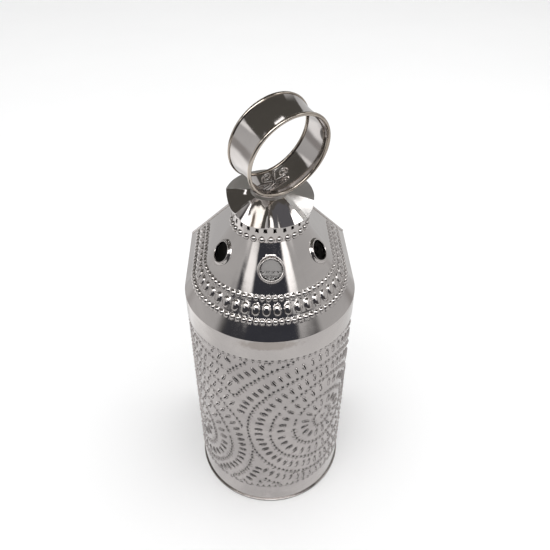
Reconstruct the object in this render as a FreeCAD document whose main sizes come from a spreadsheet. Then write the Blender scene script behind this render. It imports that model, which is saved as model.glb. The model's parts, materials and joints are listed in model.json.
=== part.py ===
import FreeCAD, Part
import math
import os

import Sketcher

# Pierced tin candle lantern with a D-shaped plan: half-round front towards -Y, straight sides,
# flat back at +Y with a door. Millimetres, +Z up, origin on the floor under the axis of the
# half-round.

os.makedirs("parts", exist_ok=True)
Vector = FreeCAD.Vector
Placement = FreeCAD.Placement
Rotation = FreeCAD.Rotation

doc = FreeCAD.newDocument("tin_lantern")

# ---------------------------------------------------------------- driving dimensions
# (alias, number or sheet formula). A "_rad" is a radius, a "_thk" a thickness, an "_across" a
# place along X and a "_level" a height; a formula only uses aliases above it.
SIZES = [
    # body plan
    ("fit_gap", 0.05), ("sheet_thk", 0.8), ("front_rad", 69.4), ("back_face", 72.0),
    ("side_end", "=back_face - sheet_thk"), ("seam_flange", 8.0), ("eaves_height", 219.1),
    # rolled wire foot and floor pan
    ("foot_wire_rad", 1.1), ("body_foot", "=2 * foot_wire_rad"),
    ("foot_path_rad", "=front_rad - sheet_thk / 2"),
    ("foot_path_back", "=back_face - sheet_thk / 2"), ("foot_corner", 3.0),
    ("pan_rad", 67.85), ("pan_back", 70.35), ("pan_height", 9.0),
    # eaves band and roof
    ("band_thk", 0.6), ("band_foot", 199.0), ("roof_rad", "=front_rad + band_thk"),
    ("roof_back", "=back_face + band_thk"), ("apex_height", 320.3), ("loft_top", 300.0),
    ("roof_drop", 1.405), ("vent_reach", 39.8), ("vent_hole_rad", 8.6),
    ("vent_collar_rad", 9.3), ("vent_collar_rise", 2.4), ("vent_angle", 65.0),
    ("seam_bead_rad", 1.0), ("seam_bead_len", 100.5), ("seam_start", 1.6),
    # gallery collar
    ("gallery_rad", 28.2), ("gallery_hole_rad", "=gallery_rad + fit_gap"),
    ("gallery_foot", 276.0), ("gallery_top", 291.3), ("slot_wide", 2.0), ("slot_tall", 3.2),
    ("slot_level", 286.6), ("slot_count", 20), ("slot_overrun", 2.0), ("bead_rad", 2.4),
    ("bead_ring_rad", 28.3), ("bead_level", 281.2), ("bead_count", 30),
    # ruffled crown
    ("crown_level", 305.5), ("crown_flat_rad", 14.0), ("crown_tip_rad", 33.0),
    ("crown_tip_level", 301.0), ("crown_valley_rad", 29.6), ("crown_valley_level", 291.4),
    ("crown_thk", 0.9), ("crown_hole_rad", 1.85),
    # ring handle
    ("pivot_across", 2.91), ("pivot_along", -0.72), ("pivot_level", 314.23),
    ("handle_yaw", 33.3), ("handle_lean", 13.4), ("strap_inner_rad", 31.2),
    ("strap_hollow", 60.0), ("roll_rad", 1.4), ("roll_centre_rad", "=strap_inner_rad + roll_rad"),
    ("roll_offset", 12.3), ("roll_bore_rad", 0.92), ("edge_wire_rad", 0.9),
    ("strap_slot_long", 5.6), ("strap_slot_wide", 1.8), ("strap_slot_deep", 8.0),
    # staple and locking wire
    ("wire_rad", 0.55), ("staple_half", 1.2), ("staple_top", 321.3), ("staple_foot", 303.5),
    ("staple_bend", 1.3), ("staple_reach", 6.5), ("scroll_offset", 7.2), ("scroll_rad", 4.4),
    ("scroll_eye_rad", 1.25), ("scroll_rise", 5.6), ("scroll_turns", 1.6),
    # back opening and door
    ("opening_half", 42.0), ("opening_foot", 24.0), ("opening_head", 174.0), ("door_lap", 4.0),
    ("door_half", "=opening_half + door_lap"), ("door_foot", "=opening_foot - door_lap"),
    ("door_head", "=opening_head + door_lap"), ("door_gap", 0.1),
    # hinges and their pins
    ("leaf_thk", 0.8), ("frame_leaf_margin", 5.0), ("door_leaf_margin", 4.0),
    ("hinge_across", 49.5), ("hinge_off", 74.4), ("hinge_low", 34.0), ("hinge_high", 140.0),
    ("hinge_tall", 24.0), ("knuckle_rad", 2.0), ("knuckle_bore", 1.0), ("knuckle_tall", 8.0),
    ("knuckle_play", 0.1), ("knuckle_clear", 0.3), ("bore_overrun", 1.0),
    ("pin_rad", "=knuckle_bore - fit_gap"), ("pin_head_rad", 1.6), ("pin_head_end", 1.0),
    ("pin_head_gap", 0.02),
    # rivets; tail_tall also serves the turn button and the pull
    ("tail_tall", 0.6), ("rivet_rad", 0.9), ("rivet_hole", "=rivet_rad + fit_gap"),
    ("rivet_head_rad", 1.7), ("rivet_head_taper", 0.5), ("rivet_head_tall", 0.7),
    ("rivet_tail_rad", 1.4), ("rivet_inset", 6.0), ("frame_rivet_across", 57.0),
    ("door_rivet_across", 39.5),
    # turn button and door pull
    ("latch_across", -54.0), ("latch_level", 99.0), ("latch_arm", 11.0), ("latch_round", 3.5),
    ("latch_face", 73.25), ("latch_thk", 1.1), ("latch_pin_rad", 1.2),
    ("latch_bore", "=latch_pin_rad + fit_gap"), ("latch_shoulder_rad", 2.4),
    ("latch_tail_lip", 0.9), ("latch_head_rad", 2.6), ("latch_head_taper", 0.7),
    ("latch_head_tall", 0.9), ("pull_across", -38.0), ("pull_level", 83.0),
    ("pull_stem_rad", 1.6), ("pull_hole", "=pull_stem_rad + fit_gap"), ("pull_tail_lip", 0.8),
    # drip pan and candle socket
    ("drip_rad", 30.0), ("drip_rim_rad", 31.5), ("drip_tall", 6.0), ("socket_bore", 11.1),
    ("socket_rad", "=socket_bore + sheet_thk"), ("socket_head", 30.0),
    ("socket_flare", 1.6), ("socket_flare_tall", 1.0),
    # candle and wick
    ("candle_rad", 11.0), ("candle_head", 112.0), ("candle_bevel_in", 1.5),
    ("candle_bevel_tall", 2.0), ("dish_edge_in", 4.5), ("dish_edge_drop", 0.6),
    ("dish_drop", 1.6), ("wick_rad", 0.9), ("wick_sunk", 6.0), ("wick_stand", 9.0),
    ("wick_tip_in", 0.4), ("wick_tip_tall", 0.6),
]


class Dim:
    """A length that knows its spreadsheet expression and its value."""

    def __init__(self, expr, value):
        self.expr = expr
        self.value = float(value)

    def combine(self, other, sign, operation, swap=False):
        if not isinstance(other, Dim):
            other = Dim("%.6f" % other, other)
        first, second = (other, self) if swap else (self, other)
        return Dim("(%s %s %s)" % (first.expr, sign, second.expr),
                   operation(first.value, second.value))

    def __add__(self, other):
        return self.combine(other, "+", lambda a, b: a + b)

    def __radd__(self, other):
        return self.combine(other, "+", lambda a, b: a + b, swap=True)

    def __sub__(self, other):
        return self.combine(other, "-", lambda a, b: a - b)

    def __mul__(self, other):
        return self.combine(other, "*", lambda a, b: a * b)

    def __truediv__(self, other):
        return self.combine(other, "/", lambda a, b: a / b)

    def __neg__(self):
        return Dim("(0 - %s)" % self.expr, -self.value)


class Sizes:
    """Holds one Dim for each alias of the sheet."""


def read_sizes():
    """Fill the spreadsheet and return its aliases as Dims."""
    sheet = doc.addObject("Spreadsheet::Sheet", "dims")
    for row, (alias, content) in enumerate(SIZES, 1):
        sheet.set("A%d" % row, alias)
        sheet.set("B%d" % row, content if isinstance(content, str) else "%g" % content)
        sheet.setAlias("B%d" % row, alias)
    doc.recompute()
    sizes = Sizes()
    for alias, _ in SIZES:
        setattr(sizes, alias, Dim("dims.%s" % alias, sheet.get(alias)))
    return sizes


size = read_sizes()
thk = size.sheet_thk


def num(length):
    return length.value if isinstance(length, Dim) else float(length)


def bind(obj, prop, length):
    if isinstance(length, Dim):
        obj.setExpression(prop, length.expr)
    else:
        setattr(obj, prop, length)


# ---------------------------------------------------------------- sketch helpers
def new_body(name):
    return doc.addObject("PartDesign::Body", name)


def origin_feature(body, role):
    for feature in body.Origin.OriginFeatures:
        if feature.Role == role:
            return feature
    raise RuntimeError(role)


def new_sketch(body, name, role="XY_Plane", offset=0.0):
    """Sketch on an origin plane, moved along its normal; that of XZ_Plane looks towards -Y."""
    sketch = body.newObject("Sketcher::SketchObject", name)
    sketch.AttachmentSupport = [(origin_feature(body, role), "")]
    sketch.MapMode = "FlatFace"
    sketch.AttachmentOffset = Placement(Vector(0, 0, num(offset)), Rotation())
    if isinstance(offset, Dim):
        sketch.setExpression("AttachmentOffset.Base.z", offset.expr)
    return sketch


def add_dimension(sketch, constraint, length):
    index = sketch.addConstraint(constraint)
    if isinstance(length, Dim):
        sketch.setExpression("Constraints[%d]" % index, length.expr)


def pin_point(sketch, geo, vertex, x, y, axes="xy"):
    """Fix one point of the sketch to sheet sizes, an axis standing for a zero."""
    for axis, length, kind, zero_line in (("x", x, "DistanceX", -2), ("y", y, "DistanceY", -1)):
        if axis not in axes:
            continue
        if abs(num(length)) < 1e-9:
            sketch.addConstraint(Sketcher.Constraint("PointOnObject", geo, vertex, zero_line))
        else:
            distance = Sketcher.Constraint(kind, -1, 1, geo, vertex, num(length))
            add_dimension(sketch, distance, length)


def set_radius(sketch, geo, radius):
    add_dimension(sketch, Sketcher.Constraint("Radius", geo, num(radius)), radius)


def add_arc(sketch, centre, radius, start, end):
    """Counter-clockwise arc from start to end."""
    start_angle = math.atan2(start.y - centre.y, start.x - centre.x)
    end_angle = math.atan2(end.y - centre.y, end.x - centre.x)
    while end_angle <= start_angle + 1e-9:
        end_angle += 2 * math.pi
    full = Part.Circle(centre, Vector(0, 0, 1), radius)
    return sketch.addGeometry(Part.ArcOfCircle(full, start_angle, end_angle), False)


def outline(sketch, points, arcs=None):
    """Closed outline. arcs[i] = (x, y, ccw, axis) makes edge i an arc round (x, y); axis is the
    centre coordinate that is constrained ('x' or 'y')."""
    arcs = arcs or {}
    corners = [Vector(num(x), num(y), 0) for x, y in points]
    count = len(corners)
    edges = []  # geometry, vertex at its start, vertex at its end
    for i in range(count):
        start, end = corners[i], corners[(i + 1) % count]
        if i in arcs:
            x, y, ccw, _ = arcs[i]
            centre = Vector(num(x), num(y), 0)
            if not ccw:
                start, end = end, start
            geo = add_arc(sketch, centre, (start - centre).Length, start, end)
            edges.append((geo, 1, 2) if ccw else (geo, 2, 1))
        else:
            geo = sketch.addGeometry(Part.LineSegment(start, end), False)
            edges.append((geo, 1, 2))
    for i in range(count):
        geo, _, end_vertex = edges[i]
        next_geo, next_start, _ = edges[(i + 1) % count]
        sketch.addConstraint(
            Sketcher.Constraint("Coincident", geo, end_vertex, next_geo, next_start))
    for i in range(count):
        geo, start_vertex, _ = edges[i]
        pin_point(sketch, geo, start_vertex, points[i][0], points[i][1])
        if i in arcs:
            x, y, _, axis = arcs[i]
            pin_point(sketch, geo, 3, x, y, axis)


def circle(sketch, x, y, radius):
    full = Part.Circle(Vector(num(x), num(y), 0), Vector(0, 0, 1), num(radius))
    geo = sketch.addGeometry(full, False)
    pin_point(sketch, geo, 3, x, y)
    set_radius(sketch, geo, radius)


def rect(x_low, x_high, y_low, y_high):
    return [(x_low, y_low), (x_high, y_low), (x_high, y_high), (x_low, y_high)]


def d_plan(sketch, radius, back):
    outline(sketch, [(-radius, 0), (radius, 0), (radius, back), (-radius, back)],
            {0: (0, 0, True, "y")})


def d_round(sketch, radius, back, corner):
    """D plan whose two back corners are rounded."""
    corner_x, corner_y = radius - corner, back - corner
    outline(
        sketch,
        [(-radius, 0), (radius, 0), (radius, corner_y), (corner_x, back),
         (-corner_x, back), (-radius, corner_y)],
        {0: (0, 0, True, "y"), 2: (corner_x, corner_y, True, "x"),
         4: (-corner_x, corner_y, True, "x")},
    )


# ---------------------------------------------------------------- solid helpers
def pad(body, sketch, length, name):
    feature = body.newObject("PartDesign::Pad", name)
    feature.Profile = sketch
    bind(feature, "Length", length)
    sketch.Visibility = False


def revolve(body, sketch, name, axis="V_Axis"):
    feature = body.newObject("PartDesign::Revolution", name)
    feature.Profile = sketch
    feature.ReferenceAxis = (sketch, [axis])
    feature.Angle = 360.0
    return feature


def pocket(body, sketch, length, name, reverse=False):
    """Pocket that must remove material, so that a wrong direction can't pass."""
    doc.recompute()
    volume_before = body.Shape.Volume
    feature = body.newObject("PartDesign::Pocket", name)
    feature.Profile = sketch
    bind(feature, "Length", length)
    feature.Reversed = reverse
    doc.recompute()
    if not body.Shape.Volume < volume_before - 1e-3:
        raise RuntimeError("%s cut nothing" % name)
    return feature


def polar_pattern(body, original, name, count):
    """Repeat a feature evenly round Z."""
    pattern = body.newObject("PartDesign::PolarPattern", name)
    pattern.Originals = [original]
    pattern.Axis = (origin_feature(body, "Z_Axis"), [""])
    pattern.Angle = 360.0
    bind(pattern, "Occurrences", count)
    body.Tip = pattern
    return pattern


def turned(name, points, place=None):
    """A turned piece: outline in (radius, height), revolved about Z."""
    body = new_body(name)
    sketch = new_sketch(body, name + "_sk", "XZ_Plane")
    outline(sketch, points)
    revolve(body, sketch, name + "_rev")
    if place is not None:
        body.Placement = place
    return body


def sheet_plate(name, points, near, far, holes=(), arcs=None, opening=None):
    """Flat plate between y = near and y = far; points are (x, z), holes (x, z, radius)."""
    body = new_body(name)
    sketch = new_sketch(body, name + "_sk", "XZ_Plane", -far)
    outline(sketch, points, arcs)
    if opening:
        outline(sketch, opening)
    for x, z, radius in holes:
        circle(sketch, x, z, radius)
    pad(body, sketch, far - near, name + "_pad")
    return body


def two_shapes(kind, name, base, tool):
    feature = doc.addObject(kind, name)
    feature.Base = base
    feature.Tool = tool
    return feature


def cut(name, base, tool):
    return two_shapes("Part::Cut", name, base, tool)


def common(name, base, tool):
    return two_shapes("Part::Common", name, base, tool)


def fuse(name, shapes):
    feature = doc.addObject("Part::MultiFuse", name)
    feature.Shapes = shapes
    return feature


def compound(name, shapes):
    feature = doc.addObject("Part::Compound", name)
    feature.Links = shapes
    return feature


def cylinder(name, radius, height, place):
    feature = doc.addObject("Part::Cylinder", name)
    bind(feature, "Radius", radius)
    bind(feature, "Height", height)
    feature.Placement = place
    return feature


def solid_feature(name, shape):
    feature = doc.addObject("Part::Feature", name)
    feature.Shape = shape
    return feature


def upright(x, y, z):
    return Placement(Vector(num(x), num(y), num(z)), Rotation())


def along(point, direction):
    """Placement at a point whose local +Z looks along a direction."""
    return Placement(point, Rotation(Vector(0, 0, 1), direction))


def facing_back(x, y, z):
    """Placement whose local +Z looks along +Y."""
    return along(Vector(num(x), num(y), num(z)), Vector(0, 1, 0))


def bearing(angle):
    """Level unit vector at an angle in degrees from the front (-Y) towards +X."""
    return Vector(math.sin(math.radians(angle)), -math.cos(math.radians(angle)), 0)


NODES = {}


def node(label, obj):
    obj.Label = label
    NODES[label] = obj


# ---------------------------------------------------------------- body
def body_sheet():
    """Front and sides in one sheet, with flanges turned in at the back."""
    body = new_body("BodySheet")
    sketch = new_sketch(body, "BodySheet_sk", "XY_Plane", size.body_foot)
    outer, end = size.front_rad, size.side_end
    inner, flange = outer - thk, outer - size.seam_flange
    outline(
        sketch,
        [(-outer, 0), (outer, 0), (outer, end), (flange, end), (flange, end - thk),
         (inner, end - thk), (inner, 0), (-inner, 0), (-inner, end - thk),
         (-flange, end - thk), (-flange, end), (-outer, end)],
        {0: (0, 0, True, "y"), 6: (0, 0, False, "y")},
    )
    pad(body, sketch, size.eaves_height - size.body_foot, "BodySheet_pad")
    return body


def foot_wire():
    body = new_body("FootWire")
    path = new_sketch(body, "FootWire_path", "XY_Plane", size.foot_wire_rad)
    d_round(path, size.foot_path_rad, size.foot_path_back, size.foot_corner)
    section = new_sketch(body, "FootWire_section", "XZ_Plane")
    circle(section, size.foot_path_rad, size.foot_wire_rad, size.foot_wire_rad)
    pipe = body.newObject("PartDesign::AdditivePipe", "FootWire_pipe")
    pipe.Profile = section
    pipe.Spine = path
    return body


def floor_pan():
    """Shallow tray, open upwards."""
    body = new_body("FloorPan")
    sketch = new_sketch(body, "FloorPan_sk")
    d_round(sketch, size.pan_rad, size.pan_back, size.foot_corner)
    pad(body, sketch, size.pan_height, "FloorPan_pad")
    sketch = new_sketch(body, "FloorPan_in_sk", "XY_Plane", size.pan_height)
    d_round(sketch, size.pan_rad - thk, size.pan_back - thk, size.foot_corner - thk)
    pocket(body, sketch, size.pan_height - thk, "FloorPan_hollow")
    return body


def eaves_band():
    body = new_body("EavesBand")
    sketch = new_sketch(body, "EavesBand_sk", "XY_Plane", size.band_foot)
    d_plan(sketch, size.roof_rad, size.roof_back)
    d_plan(sketch, size.front_rad, size.back_face)
    pad(body, sketch, size.eaves_height - size.band_foot, "EavesBand_pad")
    return body


node("body_sheet", body_sheet())
node("base_rim_wire", foot_wire())
node("base_pan", floor_pan())
node("eaves_band", eaves_band())

# ---------------------------------------------------------------- roof
VENT_ROOT = 4.0  # depth of a vent collar below the roof surface
VENT_BORE_ROOM = 8.0  # overrun of a vent bore at each end
GALLERY_BORE_FOOT, GALLERY_BORE_TALL = 210.0, 120.0
WEDGE_SPREAD = 1.3  # reach of the back wedge as a multiple of the roof plan
WEDGE_TALL = 130.0

roof_rise = size.apex_height - size.eaves_height


def roof_solid(name, drop=0.0):
    """Solid D-shaped cone, cut off level below its apex and lowered by drop."""
    left_over = (size.apex_height - size.loft_top) / roof_rise
    body = new_body(name)
    eaves = new_sketch(body, name + "_low", "XY_Plane", size.eaves_height - drop)
    d_plan(eaves, size.roof_rad, size.roof_back)
    top = new_sketch(body, name + "_top", "XY_Plane", size.loft_top - drop)
    d_plan(top, size.roof_rad * left_over, size.roof_back * left_over)
    loft = body.newObject("PartDesign::AdditiveLoft", name + "_loft")
    loft.Profile = eaves
    loft.Sections = [top]
    loft.Ruled = True
    return body


def vents():
    """Collars and bores of the three round vents, square to the conical front."""
    slope = math.atan2(roof_rise.value, size.roof_rad.value)
    reach = size.vent_reach.value
    level = size.apex_height.value - reach * roof_rise.value / size.roof_rad.value
    spread = size.vent_angle.value
    collars, bores = [], []
    for i, angle in enumerate((-spread, 0.0, spread)):
        outward = bearing(angle)
        normal = outward * math.sin(slope) + Vector(0, 0, math.cos(slope))
        centre = outward * reach + Vector(0, 0, level)
        collars.append(cylinder(
            "VentCollar%d" % i, size.vent_collar_rad, size.vent_collar_rise + VENT_ROOT,
            along(centre - normal * VENT_ROOT, normal)))
        bores.append(cylinder(
            "VentBore%d" % i, size.vent_hole_rad, size.vent_collar_rise + 2 * VENT_BORE_ROOM,
            along(centre - normal * VENT_BORE_ROOM, normal)))
    return collars, bores


def whole_roof(outer):
    """Roof shell with its vents and the hole for the gallery."""
    inner = roof_solid("RoofInner", size.roof_drop)
    shell = cut("RoofShell", outer, inner)
    collars, bores = vents()
    raised = fuse("RoofRaised", [shell] + collars)
    trimmed = cut("RoofTrimmed", raised, inner)
    gallery_bore = cylinder("GalleryBore", size.gallery_hole_rad, GALLERY_BORE_TALL,
                            upright(0, 0, GALLERY_BORE_FOOT))
    return cut("RoofAll", trimmed, fuse("RoofCutters", [gallery_bore] + bores))


def back_wedge():
    """Triangular prism that takes in the flat back face of the roof."""
    body = new_body("BackWedge")
    sketch = new_sketch(body, "BackWedge_sk", "XY_Plane", size.band_foot)
    x, y = size.roof_rad * WEDGE_SPREAD, size.roof_back * WEDGE_SPREAD
    outline(sketch, [(0, 0), (x, y), (-x, y)])
    pad(body, sketch, WEDGE_TALL, "BackWedge_pad")
    return body


def seam_beads(outer):
    """Half-sunk beads up the two back edges of the roof."""
    rods = []
    for i, side in enumerate((-1, 1)):
        corner = Vector(side * size.roof_rad.value, size.roof_back.value,
                        size.eaves_height.value)
        direction = Vector(0, 0, size.apex_height.value) - corner
        direction.normalize()
        start = corner + direction * size.seam_start.value
        rods.append(cylinder("SeamRod%d" % i, size.seam_bead_rad, size.seam_bead_len,
                             along(start, direction)))
    return cut("SeamRodsOut", fuse("SeamRods", rods), outer)


roof_outer = roof_solid("RoofOuter")
roof_all = whole_roof(roof_outer)
wedge = back_wedge()
node("roof_sheet", cut("RoofSheet", roof_all, wedge))
back_triangle = common("RoofBackTriangle", roof_all, wedge)
node("roof_back_panel", fuse("RoofBackPanel", [back_triangle, seam_beads(roof_outer)]))

# ---------------------------------------------------------------- gallery collar
CORE_FOOT, CORE_TALL = 250.0, 60.0  # cylinder that clears the beads out of the tube


def gallery_tube():
    """Tube with a row of upright slots."""
    outer, inner = size.gallery_rad, size.gallery_rad - thk
    body = turned("GalleryTube", rect(inner, outer, size.gallery_foot, size.gallery_top))
    sketch = new_sketch(body, "GallerySlot_sk", "XZ_Plane")
    half_wide, half_tall = size.slot_wide / 2.0, size.slot_tall / 2.0
    outline(sketch, rect(-half_wide, half_wide,
                         size.slot_level - half_tall, size.slot_level + half_tall))
    slot = pocket(body, sketch, size.gallery_rad + size.slot_overrun, "GallerySlot")
    polar_pattern(body, slot, "GallerySlots", size.slot_count)
    return body


def gallery_beads():
    """Row of round beads, trimmed to the outside of the tube and the roof."""
    body = new_body("GalleryBeads")
    sketch = new_sketch(body, "GalleryBead_sk", "XZ_Plane")
    centre = Vector(size.bead_ring_rad.value, size.bead_level.value, 0)
    up = Vector(0, size.bead_rad.value, 0)
    arc = add_arc(sketch, centre, size.bead_rad.value, centre - up, centre + up)
    chord = sketch.addGeometry(Part.LineSegment(centre + up, centre - up), False)
    sketch.addConstraint(Sketcher.Constraint("Coincident", arc, 2, chord, 1))
    sketch.addConstraint(Sketcher.Constraint("Coincident", arc, 1, chord, 2))
    sketch.addConstraint(Sketcher.Constraint("Vertical", chord))
    pin_point(sketch, arc, 3, size.bead_ring_rad, size.bead_level)
    sketch.addConstraint(Sketcher.Constraint("PointOnObject", arc, 3, chord))
    set_radius(sketch, arc, size.bead_rad)
    bead = revolve(body, sketch, "GalleryBead", axis="Edge2")  # the chord
    row = polar_pattern(body, bead, "GalleryBeadRow", size.bead_count)
    row.Refine = False
    core = cylinder("GalleryCore", size.gallery_rad - thk / 2.0, CORE_TALL,
                    upright(0, 0, CORE_FOOT))
    return cut("GalleryBeadsTrimmed", body, fuse("BeadTrim", [roof_outer, core]))


node("gallery_collar", fuse("GalleryCollar", [gallery_tube(), gallery_beads()]))

# ---------------------------------------------------------------- ruffled crown
# Bearings of the eight ridges, in degrees from the front towards +X.
RIDGES = (-95.0, -48.0, -5.0, 39.0, 76.0, 121.0, 168.0, 220.0)
CROWN_BORE_FOOT, CROWN_BORE_TALL = 295.0, 20.0


def polygon_face(points):
    return Part.Face(Part.makePolygon(list(points) + [points[0]]))


def ruffle_crown():
    """Pleated cap: ridges nearly level from the flat centre to the tips, valleys falling away."""

    def station(angle, radius, level):
        return bearing(angle) * radius.value + Vector(0, 0, level.value)

    inner, outer = [], []
    for i, ridge in enumerate(RIDGES):
        next_ridge = RIDGES[i + 1] if i + 1 < len(RIDGES) else RIDGES[0] + 360.0
        valley = (ridge + next_ridge) / 2.0
        inner.append(station(ridge, size.crown_flat_rad, size.crown_level))
        outer.append(station(ridge, size.crown_tip_rad, size.crown_tip_level))
        inner.append(station(valley, size.crown_flat_rad, size.crown_level))
        outer.append(station(valley, size.crown_valley_rad, size.crown_valley_level))

    down = Vector(0, 0, -size.crown_thk.value)
    faces = [polygon_face(inner), polygon_face([point + down for point in inner])]
    for i in range(len(inner)):
        j = (i + 1) % len(inner)
        if i % 2 == 0:  # ridge to valley
            triangles = [(inner[i], outer[i], outer[j]), (inner[i], outer[j], inner[j])]
        else:
            triangles = [(inner[i], outer[i], inner[j]), (inner[j], outer[i], outer[j])]
        for triangle in triangles:
            faces.append(polygon_face(triangle))
            faces.append(polygon_face([point + down for point in triangle]))
        faces.append(polygon_face([outer[i], outer[j], outer[j] + down, outer[i] + down]))
    pleats = solid_feature("CrownPleats", Part.makeSolid(Part.makeShell(faces)))
    if pleats.Shape.Volume < 0:
        pleats.Shape = pleats.Shape.reversed()
    hole = cylinder("CrownHole", size.crown_hole_rad, CROWN_BORE_TALL,
                    upright(size.pivot_across, size.pivot_along, CROWN_BORE_FOOT))
    return cut("RuffleCrown", pleats, hole)


node("ruffle_crown", ruffle_crown())

# ---------------------------------------------------------------- ring handle
# The ring has its own frame: X across the ring, Y up to its top, Z along its axis.
yaw = math.radians(size.handle_yaw.value)
lean = math.radians(size.handle_lean.value)
ring_side = Vector(math.cos(yaw), math.sin(yaw), 0)
staple_line = Vector(math.sin(yaw), -math.cos(yaw), 0)
ring_axis = staple_line * math.cos(lean) - Vector(0, 0, 1) * math.sin(lean)
ring_up = ring_axis.cross(ring_side)
pivot = Vector(size.pivot_across.value, size.pivot_along.value, size.pivot_level.value)
# Distance from the ring's centre to the locking wire, which lies inside the strap.
wire_drop = (size.strap_inner_rad - size.wire_rad - size.fit_gap).value
ring_centre = pivot + ring_up * wire_drop
ring_place = Placement(FreeCAD.Matrix(
    ring_side.x, ring_up.x, ring_axis.x, ring_centre.x,
    ring_side.y, ring_up.y, ring_axis.y, ring_centre.y,
    ring_side.z, ring_up.z, ring_axis.z, ring_centre.z,
    0, 0, 0, 1))


def strap_section(sketch):
    """Hollow strap between two bored edge rolls, in (radius, width)."""
    hollow_x = size.strap_inner_rad + thk + size.strap_hollow
    hollow_radii = (size.strap_hollow, size.strap_hollow + thk)  # outer side, inner side
    hollow_centre = Vector(hollow_x.value, 0, 0)
    roll_radius = size.roll_rad.value

    def crossing(roll_centre, hollow_radius):
        """Where a side of the strap meets a roll, on the side nearer the middle."""
        gap = (roll_centre - hollow_centre).Length
        x = (hollow_radius ** 2 + gap ** 2 - roll_radius ** 2) / (2 * gap)
        y = math.sqrt(hollow_radius ** 2 - x * x)
        toward = (roll_centre - hollow_centre) * (1.0 / gap)
        normal = Vector(-toward.y, toward.x, 0)
        foot = hollow_centre + toward * x
        return min((foot + normal * y, foot - normal * y), key=lambda point: abs(point.y))

    high_roll, low_roll = [
        Vector(size.roll_centre_rad.value, side * size.roll_offset.value, 0)
        for side in (1, -1)]
    high_out, high_in = [crossing(high_roll, radius.value) for radius in hollow_radii]
    low_out, low_in = [crossing(low_roll, radius.value) for radius in hollow_radii]

    out_side = add_arc(sketch, hollow_centre, hollow_radii[0].value, high_out, low_out)
    in_side = add_arc(sketch, hollow_centre, hollow_radii[1].value, high_in, low_in)
    high = add_arc(sketch, high_roll, roll_radius, high_out, high_in)
    low = add_arc(sketch, low_roll, roll_radius, low_in, low_out)
    for joint in ((out_side, 1, high, 1), (high, 2, in_side, 1),
                  (in_side, 2, low, 1), (low, 2, out_side, 2)):
        sketch.addConstraint(Sketcher.Constraint("Coincident", *joint))
    pin_point(sketch, out_side, 3, hollow_x, 0)
    pin_point(sketch, in_side, 3, hollow_x, 0)
    pin_point(sketch, high, 3, size.roll_centre_rad, size.roll_offset)
    pin_point(sketch, low, 3, size.roll_centre_rad, -size.roll_offset)
    for geo, radius in ((out_side, hollow_radii[0]), (in_side, hollow_radii[1]),
                        (high, size.roll_rad), (low, size.roll_rad)):
        set_radius(sketch, geo, radius)
    for offset in (size.roll_offset, -size.roll_offset):
        circle(sketch, size.roll_centre_rad, offset, size.roll_bore_rad)


def handle_strap():
    body = new_body("HandleStrap")
    sketch = new_sketch(body, "HandleStrap_sk", "XZ_Plane")
    strap_section(sketch)
    revolve(body, sketch, "HandleStrap_rev")
    # slot for the staple at the bottom of the ring
    sketch = new_sketch(body, "HandleSlot_sk", "XZ_Plane",
                        size.strap_inner_rad - size.strap_slot_deep / 2.0)
    half_wide, half_long = size.strap_slot_wide / 2.0, size.strap_slot_long / 2.0
    outline(sketch, rect(-half_wide, half_wide, -half_long, half_long))
    pocket(body, sketch, size.strap_slot_deep, "HandleSlot", reverse=True)
    body.Placement = ring_place
    return body


def handle_edge_wires():
    """Wire rings inside the rolled edges."""
    wires = []
    for i, side in enumerate((1, -1)):
        torus = doc.addObject("Part::Torus", "EdgeWire%d" % i)
        bind(torus, "Radius1", size.roll_centre_rad)
        bind(torus, "Radius2", size.edge_wire_rad)
        torus.Placement = ring_place.multiply(upright(0, 0, side * size.roll_offset.value))
        wires.append(torus)
    return compound("HandleEdgeWires", wires)


def wire_along(name, edges):
    """Round wire swept along a chain of edges."""
    first = edges[0]
    start = first.valueAt(first.FirstParameter)
    tangent = first.tangentAt(first.FirstParameter)
    section = Part.Wire([Part.makeCircle(size.wire_rad.value, start, tangent)])
    swept = Part.Wire(edges).makePipeShell([section], True, False)
    # the sweep may come back as a shell
    if swept.ShapeType != "Solid":
        swept = Part.Solid(swept.Shells[0])
    return solid_feature(name, swept)


def handle_staple():
    """Two legs through strap and crown, closed over the top and spread underneath."""
    half, bend, reach = size.staple_half.value, size.staple_bend.value, size.staple_reach.value
    top, foot = size.staple_top.value, size.staple_foot.value
    inset = bend * (1 - math.sqrt(0.5))  # from the sharp corner to the middle of the bend

    def point(offset, z):
        return Vector(pivot.x, pivot.y, 0) + staple_line * offset + Vector(0, 0, z)

    def line(start, end):
        return Part.makeLine(point(*start), point(*end))

    def arc(start, middle, end):
        return Part.Arc(point(*start), point(*middle), point(*end)).toShape()

    return wire_along("HandleStaple", [
        line((-reach, foot), (-half - bend, foot)),
        arc((-half - bend, foot), (-half - inset, foot + inset), (-half, foot + bend)),
        line((-half, foot + bend), (-half, top)),
        arc((-half, top), (0, top + half), (half, top)),
        line((half, top), (half, foot + bend)),
        arc((half, foot + bend), (half + inset, foot + inset), (half + bend, foot)),
        line((half + bend, foot), (reach, foot)),
    ])


SCROLL_STEPS = 40
# Points between a scroll and the middle: fraction of the scroll's offset from the middle, and
# of the height of its lowest point.
SCROLL_BRIDGE = ((0.62, 0.50), (0.3, 0.10))


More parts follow.
